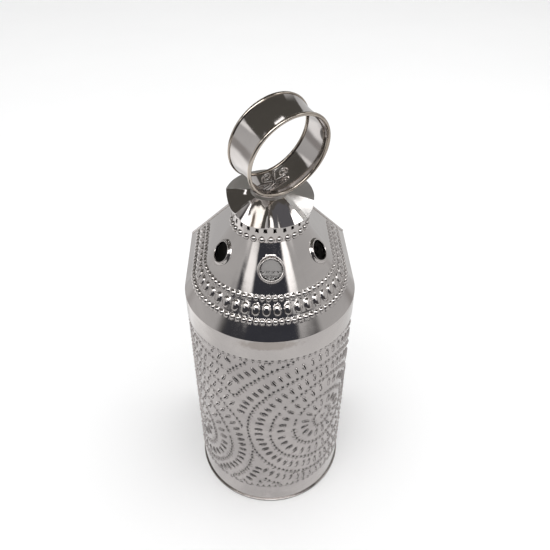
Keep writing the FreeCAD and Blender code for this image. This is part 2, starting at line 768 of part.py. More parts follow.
def locking_scroll():
    """Wire across the strap through the staple, each end coiled into an upright scroll."""
    offset, rise = size.scroll_offset.value, size.scroll_rise.value
    radius, eye = size.scroll_rad.value, size.scroll_eye_rad.value
    half_line = []
    for i in range(SCROLL_STEPS, -1, -1):  # from the eye outwards
        inward = i / SCROLL_STEPS
        angle = inward * size.scroll_turns.value * 2 * math.pi
        reach = radius + (eye - radius) * inward
        half_line.append((offset + reach * math.sin(angle),
                          -wire_drop + rise - reach * math.cos(angle)))
    for along_part, up_part in SCROLL_BRIDGE:
        half_line.append((offset * along_part, -wire_drop + (rise - radius) * up_part))
    mirrored = [(-x, y) for x, y in reversed(half_line)]
    curve = Part.BSplineCurve()
    curve.interpolate([Vector(x, y, 0) for x, y in half_line + [(0.0, -wire_drop)] + mirrored])
    scroll = wire_along("LockingScroll", [curve.toShape()])
    scroll.Placement = ring_place
    return scroll


node("handle_strap", handle_strap())
node("handle_edge_wires", handle_edge_wires())
node("handle_staple", handle_staple())
node("locking_scroll_wire", locking_scroll())

# ---------------------------------------------------------------- back frame and door
hinge_feet = (size.hinge_low, size.hinge_high)
leaf_rivet_rises = (size.rivet_inset, size.hinge_tall - size.rivet_inset)
rivet_levels = [foot + rise for foot in hinge_feet for rise in leaf_rivet_rises]
door_in = size.back_face + size.door_gap
door_out = door_in + thk


def rivet_holes(x, levels):
    return [(x, z, size.rivet_hole) for z in levels]


node("back_frame", sheet_plate(
    "BackFrame",
    rect(-size.front_rad, size.front_rad, size.body_foot, size.eaves_height),
    size.side_end, size.back_face,
    holes=rivet_holes(size.frame_rivet_across, rivet_levels)
    + [(size.latch_across, size.latch_level, size.latch_bore)],
    opening=rect(-size.opening_half, size.opening_half, size.opening_foot, size.opening_head),
))
node("door_panel", sheet_plate(
    "DoorPanel",
    rect(-size.door_half, size.door_half, size.door_foot, size.door_head),
    door_in, door_out,
    holes=rivet_holes(size.door_rivet_across, rivet_levels)
    + [(size.pull_across, size.pull_level, size.pull_hole)],
))


# ---------------------------------------------------------------- hinges
def hinge_leaf(name, foot, on_frame):
    """One leaf: plate with two rivet holes and knuckles round the pin line. The frame leaf has
    the two end knuckles, the door leaf the middle one."""
    head = foot + size.hinge_tall
    pin_x = size.hinge_across
    if on_frame:
        near, rivet_x = size.back_face, size.frame_rivet_across
        clear = pin_x + size.knuckle_rad + size.knuckle_clear
        edge = rivet_x + size.frame_leaf_margin
        low, high = foot + size.knuckle_tall, head - size.knuckle_tall
        points = [(pin_x, foot), (edge, foot), (edge, head), (pin_x, head),
                  (pin_x, high), (clear, high), (clear, low), (pin_x, low)]
        knuckles = [(foot, low), (high, head)]
    else:
        near, rivet_x = door_out, size.door_rivet_across
        clear = pin_x - size.knuckle_rad - size.knuckle_clear
        edge = rivet_x - size.door_leaf_margin
        low = foot + size.knuckle_tall + size.knuckle_play
        high = head - size.knuckle_tall - size.knuckle_play
        points = [(edge, foot), (clear, foot), (clear, low), (pin_x, low),
                  (pin_x, high), (clear, high), (clear, head), (edge, head)]
        knuckles = [(low, high)]
    body = sheet_plate(name, points, near, near + size.leaf_thk,
                       rivet_holes(rivet_x, [foot + rise for rise in leaf_rivet_rises]))
    for i, (start, end) in enumerate(knuckles):
        sketch = new_sketch(body, "%s_knuckle%d" % (name, i), "XY_Plane", start)
        circle(sketch, pin_x, size.hinge_off, size.knuckle_rad)
        pad(body, sketch, end - start, "%s_knuckle_pad%d" % (name, i))
    sketch = new_sketch(body, name + "_bore", "XY_Plane", foot - size.bore_overrun)
    circle(sketch, pin_x, size.hinge_off, size.knuckle_bore)
    pocket(body, sketch, size.hinge_tall + size.bore_overrun * 2.0, name + "_bore_cut",
           reverse=True)
    return body


def hinge_leaves(name, prefix, on_frame):
    return compound(name, [hinge_leaf(prefix + suffix, foot, on_frame)
                           for suffix, foot in zip(("Low", "High"), hinge_feet)])


def hinge_pin(name, foot):
    """Pin with a head at each end, just clear of the knuckles."""
    head, pin = size.pin_head_rad, size.pin_rad
    end, gap, tall = size.pin_head_end, size.pin_head_gap, size.hinge_tall
    return turned(
        name,
        [(0, -end), (head, -end), (head, -gap), (pin, -gap),
         (pin, tall + gap), (head, tall + gap), (head, tall + end), (0, tall + end)],
        upright(size.hinge_across, size.hinge_off, foot),
    )


def rivet(name, x, z, inner_face, outer_face):
    """Rivet through two sheets, turned about Y, its head on the outside."""
    grip = outer_face - inner_face
    tail, shank, head = size.rivet_tail_rad, size.rivet_rad, size.rivet_head_rad
    crest = grip + size.rivet_head_tall
    return turned(
        name,
        [(0, -size.tail_tall), (tail, -size.tail_tall), (tail, 0), (shank, 0), (shank, grip),
         (head, grip), (head - size.rivet_head_taper, crest), (0, crest)],
        facing_back(x, inner_face, z),
    )


def rivet_row(name, prefix, x, inner_face, outer_face):
    return compound(name, [rivet("%s%d" % (prefix, i), x, z, inner_face, outer_face)
                           for i, z in enumerate(rivet_levels)])


node("hinge_frame_leaves", hinge_leaves("HingeFrameLeaves", "FrameLeaf", True))
node("hinge_door_leaves", hinge_leaves("HingeDoorLeaves", "DoorLeaf", False))
node("hinge_pins", compound(
    "HingePins", [hinge_pin("HingePin%d" % i, foot) for i, foot in enumerate(hinge_feet)]))
node("hinge_frame_rivets", rivet_row(
    "HingeFrameRivets", "FrameRivet", size.frame_rivet_across,
    size.side_end, size.back_face + size.leaf_thk))
node("hinge_door_rivets", rivet_row(
    "HingeDoorRivets", "DoorRivet", size.door_rivet_across,
    door_in, door_out + size.leaf_thk))


# ---------------------------------------------------------------- turn button and door pull
def turn_button():
    """Button drawn released (arm up); a quarter turn lays it over the door edge."""
    x, z, half = size.latch_across, size.latch_level, size.latch_round
    arm_end = z + size.latch_arm
    return sheet_plate(
        "TurnButton", rect(x - half, x + half, z, arm_end),
        size.latch_face, size.latch_face + size.latch_thk,
        [(x, z, size.latch_bore)], {0: (x, z, True, "y"), 2: (x, arm_end, True, "y")},
    )


def latch_rivet():
    """Pivot of the turn button, with a shoulder that holds it off the frame."""
    frame_out = size.back_face - size.side_end
    button_in = size.latch_face - size.side_end
    shoulder_end = button_in - size.fit_gap
    head_foot = button_in + size.latch_thk + size.fit_gap
    crest = head_foot + size.latch_head_tall
    pin, shoulder, head = size.latch_pin_rad, size.latch_shoulder_rad, size.latch_head_rad
    tail = pin + size.latch_tail_lip
    return turned(
        "LatchRivet",
        [(0, -size.tail_tall), (tail, -size.tail_tall), (tail, 0), (pin, 0), (pin, frame_out),
         (shoulder, frame_out), (shoulder, shoulder_end), (pin, shoulder_end),
         (pin, head_foot), (head, head_foot), (head - size.latch_head_taper, crest),
         (0, crest)],
        facing_back(size.latch_across, size.side_end, size.latch_level),
    )


# Knob outline: radius, height above the outer face of the door.
KNOB = [
    (3.2, 0), (3.2, 0.8), (1.7, 1.6), (1.7, 3.0), (3.4, 4.2),
    (4.0, 6.0), (3.4, 7.8), (1.6, 8.8), (0, 9.0),
]


def door_pull():
    stem = size.pull_stem_rad
    tail = stem + size.pull_tail_lip
    return turned(
        "DoorPull",
        [(0, -size.tail_tall), (tail, -size.tail_tall), (tail, 0), (stem, 0), (stem, thk)]
        + [(radius, thk + height) for radius, height in KNOB],
        facing_back(size.pull_across, door_in, size.pull_level),
    )


node("latch_turn_button", turn_button())
node("latch_rivet", latch_rivet())
node("door_pull", door_pull())

# ---------------------------------------------------------------- candle and holder
# Each piece stands on the one before: floor pan, drip pan, socket, candle.
drip_foot = thk
socket_foot = drip_foot + thk
candle_foot = socket_foot + thk
wick_foot = size.candle_head - size.wick_sunk


def drip_pan():
    foot, rim = drip_foot, drip_foot + size.drip_tall
    return turned("DripPan", [
        (0, foot), (size.drip_rad, foot), (size.drip_rim_rad, rim),
        (size.drip_rim_rad - thk, rim), (size.drip_rad - thk, foot + thk), (0, foot + thk)])


def candle_socket():
    """Cup with a flared lip."""
    outer, bore, head = size.socket_rad, size.socket_bore, size.socket_head
    lip = outer + size.socket_flare
    return turned("CandleSocket", [
        (0, socket_foot), (outer, socket_foot), (outer, head - size.socket_flare_tall),
        (lip, head), (lip, head + thk), (bore, head + thk), (bore, socket_foot + thk),
        (0, socket_foot + thk)])


def candle():
    """Candle with a bevelled edge, a dished top and a hole for the wick."""
    outer, head = size.candle_rad, size.candle_head
    return turned("Candle", [
        (0, candle_foot), (outer, candle_foot), (outer, head - size.candle_bevel_tall),
        (outer - size.candle_bevel_in, head),
        (outer - size.dish_edge_in, head - size.dish_edge_drop),
        (size.wick_rad, head - size.dish_drop), (size.wick_rad, wick_foot), (0, wick_foot)])


def wick():
    tip = size.candle_head + size.wick_stand
    return turned("Wick", [
        (0, wick_foot), (size.wick_rad, wick_foot), (size.wick_rad, tip - size.wick_tip_tall),
        (size.wick_rad - size.wick_tip_in, tip), (0, tip)])


node("drip_pan", drip_pan())
node("candle_socket", candle_socket())
node("candle", candle())
node("wick", wick())

# ---------------------------------------------------------------- checks and output
doc.recompute()
failed = [obj.Name for obj in doc.Objects if "Invalid" in obj.State or "Error" in obj.State]
if failed:
    raise RuntimeError("failed features: %s" % ", ".join(failed))
for label, obj in NODES.items():
    shape = obj.Shape
    if shape.isNull() or not shape.isValid() or not shape.Solids:
        raise RuntimeError("%s: bad shape" % label)
    if any(solid.Volume <= 0 for solid in shape.Solids):
        raise RuntimeError("%s: solid with no volume" % label)
for label, obj in NODES.items():
    obj.Shape.exportStep("parts/%s.step" % label)
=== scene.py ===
"""A punched-tin candle lantern standing on z = 0.

Its plan is a D: a round front towards -Y and a flat back with a door towards +Y. An embossed half
cone makes the roof, and a beaded collar, a ruffled crown and a ring handle sit on top.
Shape values are in millimetres and become metres as each mesh is made. Materials, lights and the
camera are in metres.
"""

import json
import math
from dataclasses import dataclass

import bmesh
import bpy
import numpy as np
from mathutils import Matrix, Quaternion, Vector
from mathutils.geometry import delaunay_2d_cdt


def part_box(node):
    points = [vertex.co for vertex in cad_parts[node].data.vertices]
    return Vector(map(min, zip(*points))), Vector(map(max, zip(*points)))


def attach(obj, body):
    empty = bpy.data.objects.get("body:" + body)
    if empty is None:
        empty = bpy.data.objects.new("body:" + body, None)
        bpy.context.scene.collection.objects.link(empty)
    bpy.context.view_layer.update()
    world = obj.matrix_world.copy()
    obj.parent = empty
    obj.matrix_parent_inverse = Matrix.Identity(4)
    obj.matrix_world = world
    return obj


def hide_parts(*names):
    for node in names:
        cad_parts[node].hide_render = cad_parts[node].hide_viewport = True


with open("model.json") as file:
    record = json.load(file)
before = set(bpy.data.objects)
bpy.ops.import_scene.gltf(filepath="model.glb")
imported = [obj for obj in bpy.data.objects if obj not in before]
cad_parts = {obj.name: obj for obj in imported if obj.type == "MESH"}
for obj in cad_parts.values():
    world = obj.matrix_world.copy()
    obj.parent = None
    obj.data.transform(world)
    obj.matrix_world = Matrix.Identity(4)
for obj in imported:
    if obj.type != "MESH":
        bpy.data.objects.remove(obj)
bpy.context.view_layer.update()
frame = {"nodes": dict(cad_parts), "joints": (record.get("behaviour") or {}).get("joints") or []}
nodes = frame["nodes"]
MM = 0.001
rng = np.random.RandomState(643)  # shared by all parts, so the order they are built in matters


# ------------------------------------------------------------------ node graphs
class Graph:
    """A node tree with short ways to add nodes. A value may be a number, a tuple or a socket."""

    def __init__(self, tree):
        self.tree = tree

    def fill(self, made, inputs):
        """Links or sets the given inputs of a node."""
        for key, value in inputs.items():
            if isinstance(value, bpy.types.NodeSocket):
                self.tree.links.new(value, made.inputs[key])
            else:
                made.inputs[key].default_value = value

    def node(self, kind, inputs=None, **settings):
        made = self.tree.nodes.new(kind)
        for key, value in settings.items():
            setattr(made, key, value)
        self.fill(made, inputs or {})
        return made

    def find(self, kind):
        return [n for n in self.tree.nodes if n.type == kind][0]

    def noise(self, coords, scale, detail=3.0, rough=0.55, distortion=0.0):
        inputs = {"Scale": scale, "Detail": detail, "Roughness": rough,
                  "Distortion": distortion, "Vector": coords}
        return self.node("ShaderNodeTexNoise", inputs).outputs["Fac"]

    def ramp(self, value, source, result=(0.0, 1.0)):
        """Eases from the first result to the second while the value crosses the source range."""
        inputs = {"From Min": source[0], "From Max": source[1],
                  "To Min": result[0], "To Max": result[1], "Value": value}
        made = self.node("ShaderNodeMapRange", inputs, interpolation_type="SMOOTHSTEP")
        return made.outputs["Result"]

    def mix(self, factor, first, second):
        """Mixes two colours. Inputs 6 and 7 and output 2 are the node's colour sockets."""
        first, second = [(*c, 1.0) if isinstance(c, tuple) else c for c in (first, second)]
        inputs = {0: factor, 6: first, 7: second}
        return self.node("ShaderNodeMix", inputs, data_type="RGBA").outputs[2]

    def math(self, operation, *values):
        made = self.node("ShaderNodeMath", dict(enumerate(values)), operation=operation)
        return made.outputs[0]

    def vector_math(self, operation, *values):
        return self.node("ShaderNodeVectorMath", dict(enumerate(values)), operation=operation)

    def bump(self, height, distance, **normal):
        inputs = {"Distance": distance, "Height": height, **normal}
        return self.node("ShaderNodeBump", inputs).outputs[0]

    def object_coords(self, scale=(1, 1, 1)):
        coords = self.node("ShaderNodeTexCoord").outputs["Object"]
        mapping = self.node("ShaderNodeMapping", {"Scale": scale, "Vector": coords})
        return mapping.outputs["Vector"]


def new_material(name):
    """A material with a Principled surface: returns the material, its graph and the surface."""
    mat = bpy.data.materials.new(name)
    mat.use_nodes = True
    mat.node_tree.nodes.clear()
    graph = Graph(mat.node_tree)
    output = graph.node("ShaderNodeOutputMaterial")
    surface = graph.node("ShaderNodeBsdfPrincipled")
    graph.fill(output, {0: surface.outputs[0]})
    return mat, graph, surface


# ------------------------------------------------------------------ tinned sheet
def add_stain(graph, coords, colour, centre, size, tone, amount):
    """An oval stain with a ragged edge, held to one place (metres)."""
    offset = graph.vector_math("SUBTRACT", graph.object_coords(), centre).outputs[0]
    scaled = graph.vector_math("DIVIDE", offset, size).outputs[0]
    distance = graph.vector_math("LENGTH", scaled).outputs["Value"]
    ragged = graph.math("SUBTRACT", graph.noise(coords, scale=120.0, detail=4.0), 0.5)
    edge = graph.math("ADD", distance, graph.math("MULTIPLY", ragged, 1.3))
    return graph.mix(graph.ramp(edge, source=(0.45, 1.0), result=(amount, 0.0)), colour, tone)


def tin(name, light, dark, rough, smudge, scratch, dent, stain=None):
    """Mirror metal with light and dark patches, smudges, hairline scratches and shallow dents."""
    mat, graph, surface = new_material(name)
    coords = graph.object_coords()
    patches = graph.noise(coords, scale=14.0, detail=4.0, rough=0.6, distortion=0.6)
    fine = graph.noise(coords, scale=95.0, detail=5.0, rough=0.65)
    colour = graph.mix(graph.ramp(patches, source=(0.36, 0.66)), dark, light)
    specks = graph.ramp(fine, source=(0.60, 0.78), result=(0.0, 0.35 * smudge))
    colour = graph.mix(specks, colour, tuple(0.72 * c for c in dark))
    if stain is not None:
        colour = add_stain(graph, coords, colour, **stain)

    smears = graph.noise(coords, scale=30.0, detail=6.0, rough=0.7, distortion=0.8)
    roughest = rough[0] + (rough[1] - rough[0]) * (0.5 + smudge)
    roughness = graph.ramp(smears, source=(0.38, 0.72), result=(rough[0], roughest))
    upright = graph.object_coords(scale=(420.0, 420.0, 26.0))
    streaks = graph.noise(upright, scale=1.0, detail=2.0, rough=0.5)
    streaks = graph.ramp(streaks, source=(0.60, 0.80), result=(0.0, 0.10 * scratch))

    dents = graph.noise(coords, scale=42.0, detail=2.0, rough=0.5, distortion=0.2)
    dented = graph.bump(dents, distance=0.00035 * dent)
    grain = graph.noise(coords, scale=900.0, detail=2.0, rough=0.5)
    graph.fill(surface, {
        "Base Color": colour,
        "Metallic": 1.0,
        "Roughness": graph.math("ADD", roughness, streaks),
        "Normal": graph.bump(grain, distance=0.000012 * scratch, Normal=dented),
    })
    return mat


def dull_inside(name, base):
    """A copy of a sheet whose side facing the front (-Y) is dull and scatters light."""
    mat = base.copy()
    mat.name = name
    graph = Graph(mat.node_tree)
    facing = graph.node("ShaderNodeNewGeometry").outputs["True Normal"]
    facing = graph.node("ShaderNodeSeparateXYZ", {0: facing}).outputs["Y"]
    amount = graph.ramp(facing, source=(-0.9, -0.6), result=(0.85, 0.0))
    mottle = graph.noise(graph.object_coords(), scale=60.0, detail=4.0)
    colour = graph.mix(mottle, (0.40, 0.385, 0.375), (0.50, 0.485, 0.475))
    dull = graph.node("ShaderNodeBsdfDiffuse", {"Color": colour})
    metal = graph.find("BSDF_PRINCIPLED")
    inputs = {0: amount, 1: metal.outputs[0], 2: dull.outputs[0]}
    blend = graph.node("ShaderNodeMixShader", inputs)
    graph.fill(graph.find("OUTPUT_MATERIAL"), {0: blend.outputs[0]})
    return mat


LIGHT, DARK = (0.60, 0.565, 0.545), (0.52, 0.49, 0.475)
# brownish flux stain left by the solder, low on the front of the band
FLUX_STAIN = dict(centre=(-0.004, -0.070, 0.2145), size=(0.030, 0.03, 0.0062),
                  tone=(0.24, 0.19, 0.15), amount=0.40)
# name, light colour, dark colour, roughness range, smudge, scratch, dent, stain
TINS = (
    ("tin_punched", (0.56, 0.525, 0.51), (0.47, 0.44, 0.43), (0.13, 0.22), 0.7, 0.7, 0.5),
    ("tin_roof", LIGHT, DARK, (0.045, 0.11), 0.35, 0.5, 0.35),
    ("tin_band", LIGHT, DARK, (0.10, 0.20), 0.5, 0.6, 0.35, FLUX_STAIN),
    ("tin_crown", LIGHT, DARK, (0.05, 0.12), 0.5, 0.6, 0.3),
    # painted light: the crown panels past the first three take this lighter, rougher copy of the
    # crown tin, painted pale to stand in for the light grey they reflect
    ("tin_crown_back", (0.80, 0.78, 0.76), (0.66, 0.64, 0.62), (0.42, 0.52), 0.6, 0.6, 0.4),
    ("tin_strap", LIGHT, DARK, (0.055, 0.13), 0.7, 0.9, 0.3),
    ("tin_rolled_edge", (0.60, 0.54, 0.475), (0.40, 0.35, 0.30), (0.08, 0.16), 0.8, 0.9, 0.2),
    ("tin_gallery", LIGHT, DARK, (0.05, 0.12), 0.4, 0.5, 0.3),
    ("tin_back", LIGHT, DARK, (0.10, 0.22), 0.6, 0.8, 0.5),
    ("tin_door", (0.57, 0.535, 0.52), (0.49, 0.46, 0.45), (0.11, 0.20), 0.6, 0.8, 0.4),
    ("tin_inside", (0.24, 0.225, 0.21), (0.15, 0.14, 0.13), (0.22, 0.38), 1.0, 0.6, 0.5),
    ("tin_roof_inside", (0.16, 0.15, 0.14), (0.08, 0.075, 0.07), (0.25, 0.4), 1.0, 0.6, 0.5),
    ("tinned_wire", (0.58, 0.55, 0.53), (0.40, 0.375, 0.355), (0.12, 0.22), 0.8, 0.8, 0.1),
    ("steel_fastener", (0.50, 0.49, 0.475), (0.36, 0.35, 0.335), (0.24, 0.36), 0.8, 0.9, 0.1),
    ("tin_pan", (0.36, 0.34, 0.32), (0.24, 0.225, 0.21), (0.2, 0.34), 1.0, 0.8, 0.5),
)


# ------------------------------------------------------------------ candle
def candle_wax():
    mat, graph, surface = new_material("candle_wax")
    coords = graph.object_coords()
    cloud = graph.ramp(graph.noise(coords, scale=40.0, detail=4.0), source=(0.35, 0.7))
    graph.fill(surface, {
        "Base Color": graph.mix(cloud, (0.80, 0.735, 0.58), (0.90, 0.85, 0.73)),
        "Roughness": 0.42,
        "Subsurface Weight": 0.25,
        "Subsurface Radius": (0.006, 0.004, 0.002),
        "Normal": graph.bump(graph.noise(coords, scale=220.0, detail=3.0), distance=0.0004),
    })
    return mat


def wick_cotton():
    """Twisted cotton, charred over its top few millimetres."""
    mat, graph, surface = new_material("wick_cotton")
    coords = graph.object_coords()
    twist = graph.node("ShaderNodeTexWave", {"Scale": 900.0, "Vector": coords},
                       wave_type="BANDS", bands_direction="DIAGONAL").outputs["Fac"]
    height = graph.node("ShaderNodeSeparateXYZ", {0: coords}).outputs["Z"]
    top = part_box("wick")[1].z
    char = graph.ramp(height, source=(top - 0.007, top - 0.003))
    cotton = graph.mix(twist, (0.55, 0.50, 0.42), (0.75, 0.70, 0.60))
    graph.fill(surface, {
        "Base Color": graph.mix(char, cotton, (0.02, 0.018, 0.016)),
        "Roughness": 0.9,
        "Normal": graph.bump(twist, distance=0.0002),
    })
    return mat


mats = {row[0]: tin(*row) for row in TINS}
mats["tin_back_frame"] = dull_inside("tin_back_frame", mats["tin_back"])
mats["tin_door_inside"] = dull_inside("tin_door_inside", mats["tin_inside"])
mats["candle_wax"] = candle_wax()
mats["wick_cotton"] = wick_cotton()


# ------------------------------------------------------------------ driving sizes
def box_mm(name):
    """Lowest and highest corner of a CAD piece."""
    return [[value / MM for value in corner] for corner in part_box(name)]


(_, _, FOOT), (R_BODY, SIDE, TOP) = box_mm("body_sheet")
(_, _, BAND_FOOT), (R_ROOF, BACK, EAVES) = box_mm("eaves_band")
RISE = 101.2  # from the eaves to the apex of the whole cone
APEX = EAVES + RISE
SLOPE = math.hypot(RISE, R_ROOF)
NORMAL_OUT, NORMAL_UP = RISE / SLOPE, R_ROOF / SLOPE  # the roof's normal, outwards and upwards
THICK = 0.8  # sheet of the body, roof and strap


def d_plan(u, radius):
    """Point and outward normal of the D plan at arc length u from the front centre."""
    u = np.asarray(u, float)
    half = radius * math.pi / 2
    angle = np.clip(u, -half, half) / radius
    over = np.maximum(np.abs(u) - half, 0.0)
    nx, ny = np.sin(angle), -np.cos(angle)
    x = radius * nx
    y = np.where(over > 0, over, radius * ny)
    return x, y, np.where(over > 0, np.sign(u), nx), np.where(over > 0, 0.0, ny)


def d_stations(half, end, arc_count, side_count):
    """Arc lengths round the front and along both straight sides."""
    return np.unique(np.concatenate([
        np.linspace(-half, half, arc_count),
        np.linspace(half, end, side_count),
        np.linspace(-end, -half, side_count),
    ]))


def grid_points(us, zs):
    uu, zz = np.meshgrid(us, zs)
    return np.stack([uu.ravel(), zz.ravel()], 1)


# ------------------------------------------------------------------ meshes and relief sheets
def add_mesh(name, verts, faces, materials, smooth, slots=None):
    """Smooth-shaded object from millimetre points, sharp over the angle smooth (degrees)."""
    mesh = bpy.data.meshes.new(name)
    mesh.from_pydata((np.asarray(verts) * MM).tolist(), [], faces)
    for mat in materials:
        mesh.materials.append(mat)
    if slots is not None:
        mesh.polygons.foreach_set("material_index", np.asarray(slots, np.int32))
    mesh.polygons.foreach_set("use_smooth", np.ones(len(faces), bool))
    mesh.update()
    mesh.set_sharp_from_angle(angle=math.radians(smooth))
    ob = bpy.data.objects.new(name, mesh)
    bpy.context.scene.collection.objects.link(ob)
    return ob


def fit(ob, piece, part="lantern"):
    """Puts a finished mesh in place of a CAD piece."""
    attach(ob, part)
    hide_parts(piece)


@dataclass
class Mark:
    """A raised mark made of nested loops, each (scale along, scale across, height).

    It ends in a hole inside the last loop or in a crest point. Sizes are half lengths.
    """
    u: float
    z: float
    angle: float
    along: float
    across: float
    loops: list
    count: int
    hole: bool = False
    power: float = 1.0  # below 1 the oval turns towards a rectangle
    crest: float = None


def oval(along, across, count, power, phase):
    turn = np.arange(count) * 2 * math.pi / count + phase
    c, s = np.cos(turn), np.sin(turn)
    x = along * np.sign(c) * np.abs(c) ** power
    return x, across * np.sign(s) * np.abs(s) ** power


def clear_grid(grid, marks, metric, clear):
    """Drops the grid points that lie within or close round a mark."""
    kept = np.ones(len(grid), bool)
    for mark in marks:
        ku, kz = metric(mark.z)
        reach = mark.along + mark.across + 2
        du, dz = grid[:, 0] - mark.u, grid[:, 1] - mark.z
        near = (np.abs(du) < reach * ku) & (np.abs(dz) < reach * kz)
        du, dz = du[near] / ku, dz[near] / kz
        c, s = math.cos(mark.angle), math.sin(mark.angle)
        along, across = du * c + dz * s, -du * s + dz * c
        inside = (along / (mark.along + clear)) ** 2 + (across / (mark.across + clear)) ** 2 < 1.0
        kept[np.nonzero(near)[0][inside]] = False
    return grid[kept]


def relief(name, marks, grid, place, thick, materials,
           metric=lambda z: (1.0, 1.0), keep=None, extra=(), smooth=46.0, clear=0.6):
    """One closed sheet with its marks raised and real holes, triangulated flat and then bent.

    place(u, z) gives points and outward normals, metric(z) gives flat u and z per mm, keep(u, z)
    picks the triangles that stay, and extra holds single points (u, z, height).
    """
    grid = clear_grid(np.asarray(grid, float), marks, metric, clear)
    points, heights, holes = [grid], [np.zeros(len(grid))], []
    count = len(grid)
    for mark in marks:
        ku, kz = metric(mark.z)
        c, s = math.cos(mark.angle), math.sin(mark.angle)
        turn = rng.uniform(0, 0.6)
        for k, (scale_along, scale_across, height) in enumerate(mark.loops):
            phase = 0.0 if mark.power != 1.0 else turn + (math.pi / mark.count) * (k % 2)
            x, y = oval(mark.along * scale_along, mark.across * scale_across,
                        mark.count, mark.power, phase)
            loop = [mark.u + (x * c - y * s) * ku, mark.z + (x * s + y * c) * kz]
            points.append(np.stack(loop, 1))
            heights.append(np.full(mark.count, height))
            if mark.hole and k == len(mark.loops) - 1:
                holes.append(list(range(count, count + mark.count)))
            count += mark.count
        if mark.crest is not None:
            points.append(np.array([[mark.u, mark.z]]))
            heights.append(np.array([mark.crest]))
            count += 1
    extra = np.reshape(np.array(extra, float), (-1, 3))
    points = np.concatenate(points + [extra[:, :2]])
    heights = np.concatenate(heights + [extra[:, 2]])

    flat = [Vector((float(u), float(z))) for u, z in points]
    result = delaunay_2d_cdt(flat, [], holes, 0, 1e-5, True)
    flat = np.array([[v.x, v.y] for v in result[0]])
    tri = np.array([face for face in result[2] if len(face) == 3], int)
    in_hole = np.array([len(o) > 0 for face, o in zip(result[2], result[5]) if len(face) == 3],
                       bool)
    source = np.array([o[0] if len(o) else -1 for o in result[3]])
    height = np.where(source >= 0, heights[np.maximum(source, 0)], 0.0)
    tri = tri[~in_hole]
    if keep is not None:
        centre = flat[tri].mean(1)
        tri = tri[keep(centre[:, 0], centre[:, 1])]
    e1, e2 = flat[tri[:, 1]] - flat[tri[:, 0]], flat[tri[:, 2]] - flat[tri[:, 0]]
    area = e1[:, 0] * e2[:, 1] - e1[:, 1] * e2[:, 0]
    solid = np.abs(area) > 1e-7
    tri, area = tri[solid], area[solid]
    tri[area < 0] = tri[area < 0][:, ::-1]

    pos, normal = place(flat[:, 0], flat[:, 1])
    outer = pos + normal * height[:, None]
    inner = pos + normal * (height - thick)[:, None]
    plain = np.where(height[:, None] == 0, normal, 0.0)
    return closed_sheet(name, outer, inner, tri, materials, plain, smooth)


def closed_sheet(name, outer, inner, tri, materials, normals, smooth):
    """Closes an outer and an inner surface that share their triangles.

    The outer side takes the given normals; a zero leaves the vertex its own.
    """
    used = np.unique(tri)
    remap = -np.ones(len(outer), int)
    remap[used] = np.arange(len(used))
    tri = remap[tri]
    n = len(used)
    edges = np.concatenate([tri[:, [0, 1]], tri[:, [1, 2]], tri[:, [2, 0]]])
    key = np.sort(edges, 1)
    key = key[:, 0] * (n + 1) + key[:, 1]
    _, index, uses = np.unique(key, return_index=True, return_counts=True)
    rim = edges[index[uses == 1]]
    quads = np.stack([rim[:, 1], rim[:, 0], rim[:, 0] + n, rim[:, 1] + n], 1)
    faces = tri.tolist() + (tri[:, ::-1] + n).tolist() + quads.tolist()
    slots = np.zeros(len(faces), np.int32)
    slots[len(tri):2 * len(tri)] = 1
    verts = np.concatenate([outer[used], inner[used]])
    ob = add_mesh(name, verts, faces, materials, smooth, slots)
    custom = np.zeros((2 * n, 3))
    custom[:n] = normals[used]
    ob.data.normals_split_custom_set_from_vertices(custom.tolist())
    return ob


# ------------------------------------------------------------------ punched dots and slits
# loops as (scale along, scale across, share of the height)
DOT_LOOPS = [(1.0, 1.0, 0.0), (0.86, 0.86, 0.36), (0.64, 0.64, 0.70), (0.34, 0.34, 0.93)]
SLIT_LOOPS = [(1.0, 1.0, 0.0), (0.95, 0.84, 0.40), (0.88, 0.60, 0.80), (0.74, 0.25, 1.0)]


def scaled(loops, height):
    return [(along, across, share * height) for along, across, share in loops]


def dot(u, z, radius=1.9, height=1.24):
    return Mark(u, z, rng.uniform(0, 6.28), radius, radius, scaled(DOT_LOOPS, height), 8,
                crest=height)


def slit(u, z, angle, along, across, height=1.28, count=14):
    return Mark(u, z, angle, along, across, scaled(SLIT_LOOPS, height), count,
                hole=True, power=0.82)


class Field:
    """Accepts marks that keep clear of those already there."""
    CELL = 6.0

    def __init__(self):
        self.bins, self.marks = {}, []

    @staticmethod
    def discs(mark):
        """Discs (u, z, radius) that cover a mark."""
        if mark.along > mark.across * 1.4:
            d = mark.along - mark.across
            c, s = math.cos(mark.angle), math.sin(mark.angle)
            return [(mark.u + t * d * c, mark.z + t * d * s, mark.across)
                    for t in (-1, -0.5, 0, 0.5, 1)]
        return [(mark.u, mark.z, mark.along)]

    def cell(self, u, z):
        return int(u // self.CELL), int(z // self.CELL)

    def add(self, mark, gap):
        discs = self.discs(mark)
        for u, z, radius in discs:
            i, j = self.cell(u, z)
            for di in (-1, 0, 1):
                for dj in (-1, 0, 1):
                    for x, y, other in self.bins.get((i + di, j + dj), ()):
                        if (x - u) ** 2 + (y - z) ** 2 < (radius + other + gap) ** 2:
                            return False
        for disc in discs:
            self.bins.setdefault(self.cell(disc[0], disc[1]), []).append(disc)
        self.marks.append(mark)
        return True


OVERLAP = -1.0  # gap that lets border dots touch

# ------------------------------------------------------------------ punched body
BODY_FACE = R_BODY - 0.62  # plain sheet between the marks, set in so that they stand out of it
BODY_HALF = R_BODY * math.pi / 2
BODY_END = BODY_HALF + SIDE
BODY_LIMIT = BODY_END - 3.2  # marks stay within this arc length
BODY_SCALE = R_BODY / R_ROOF
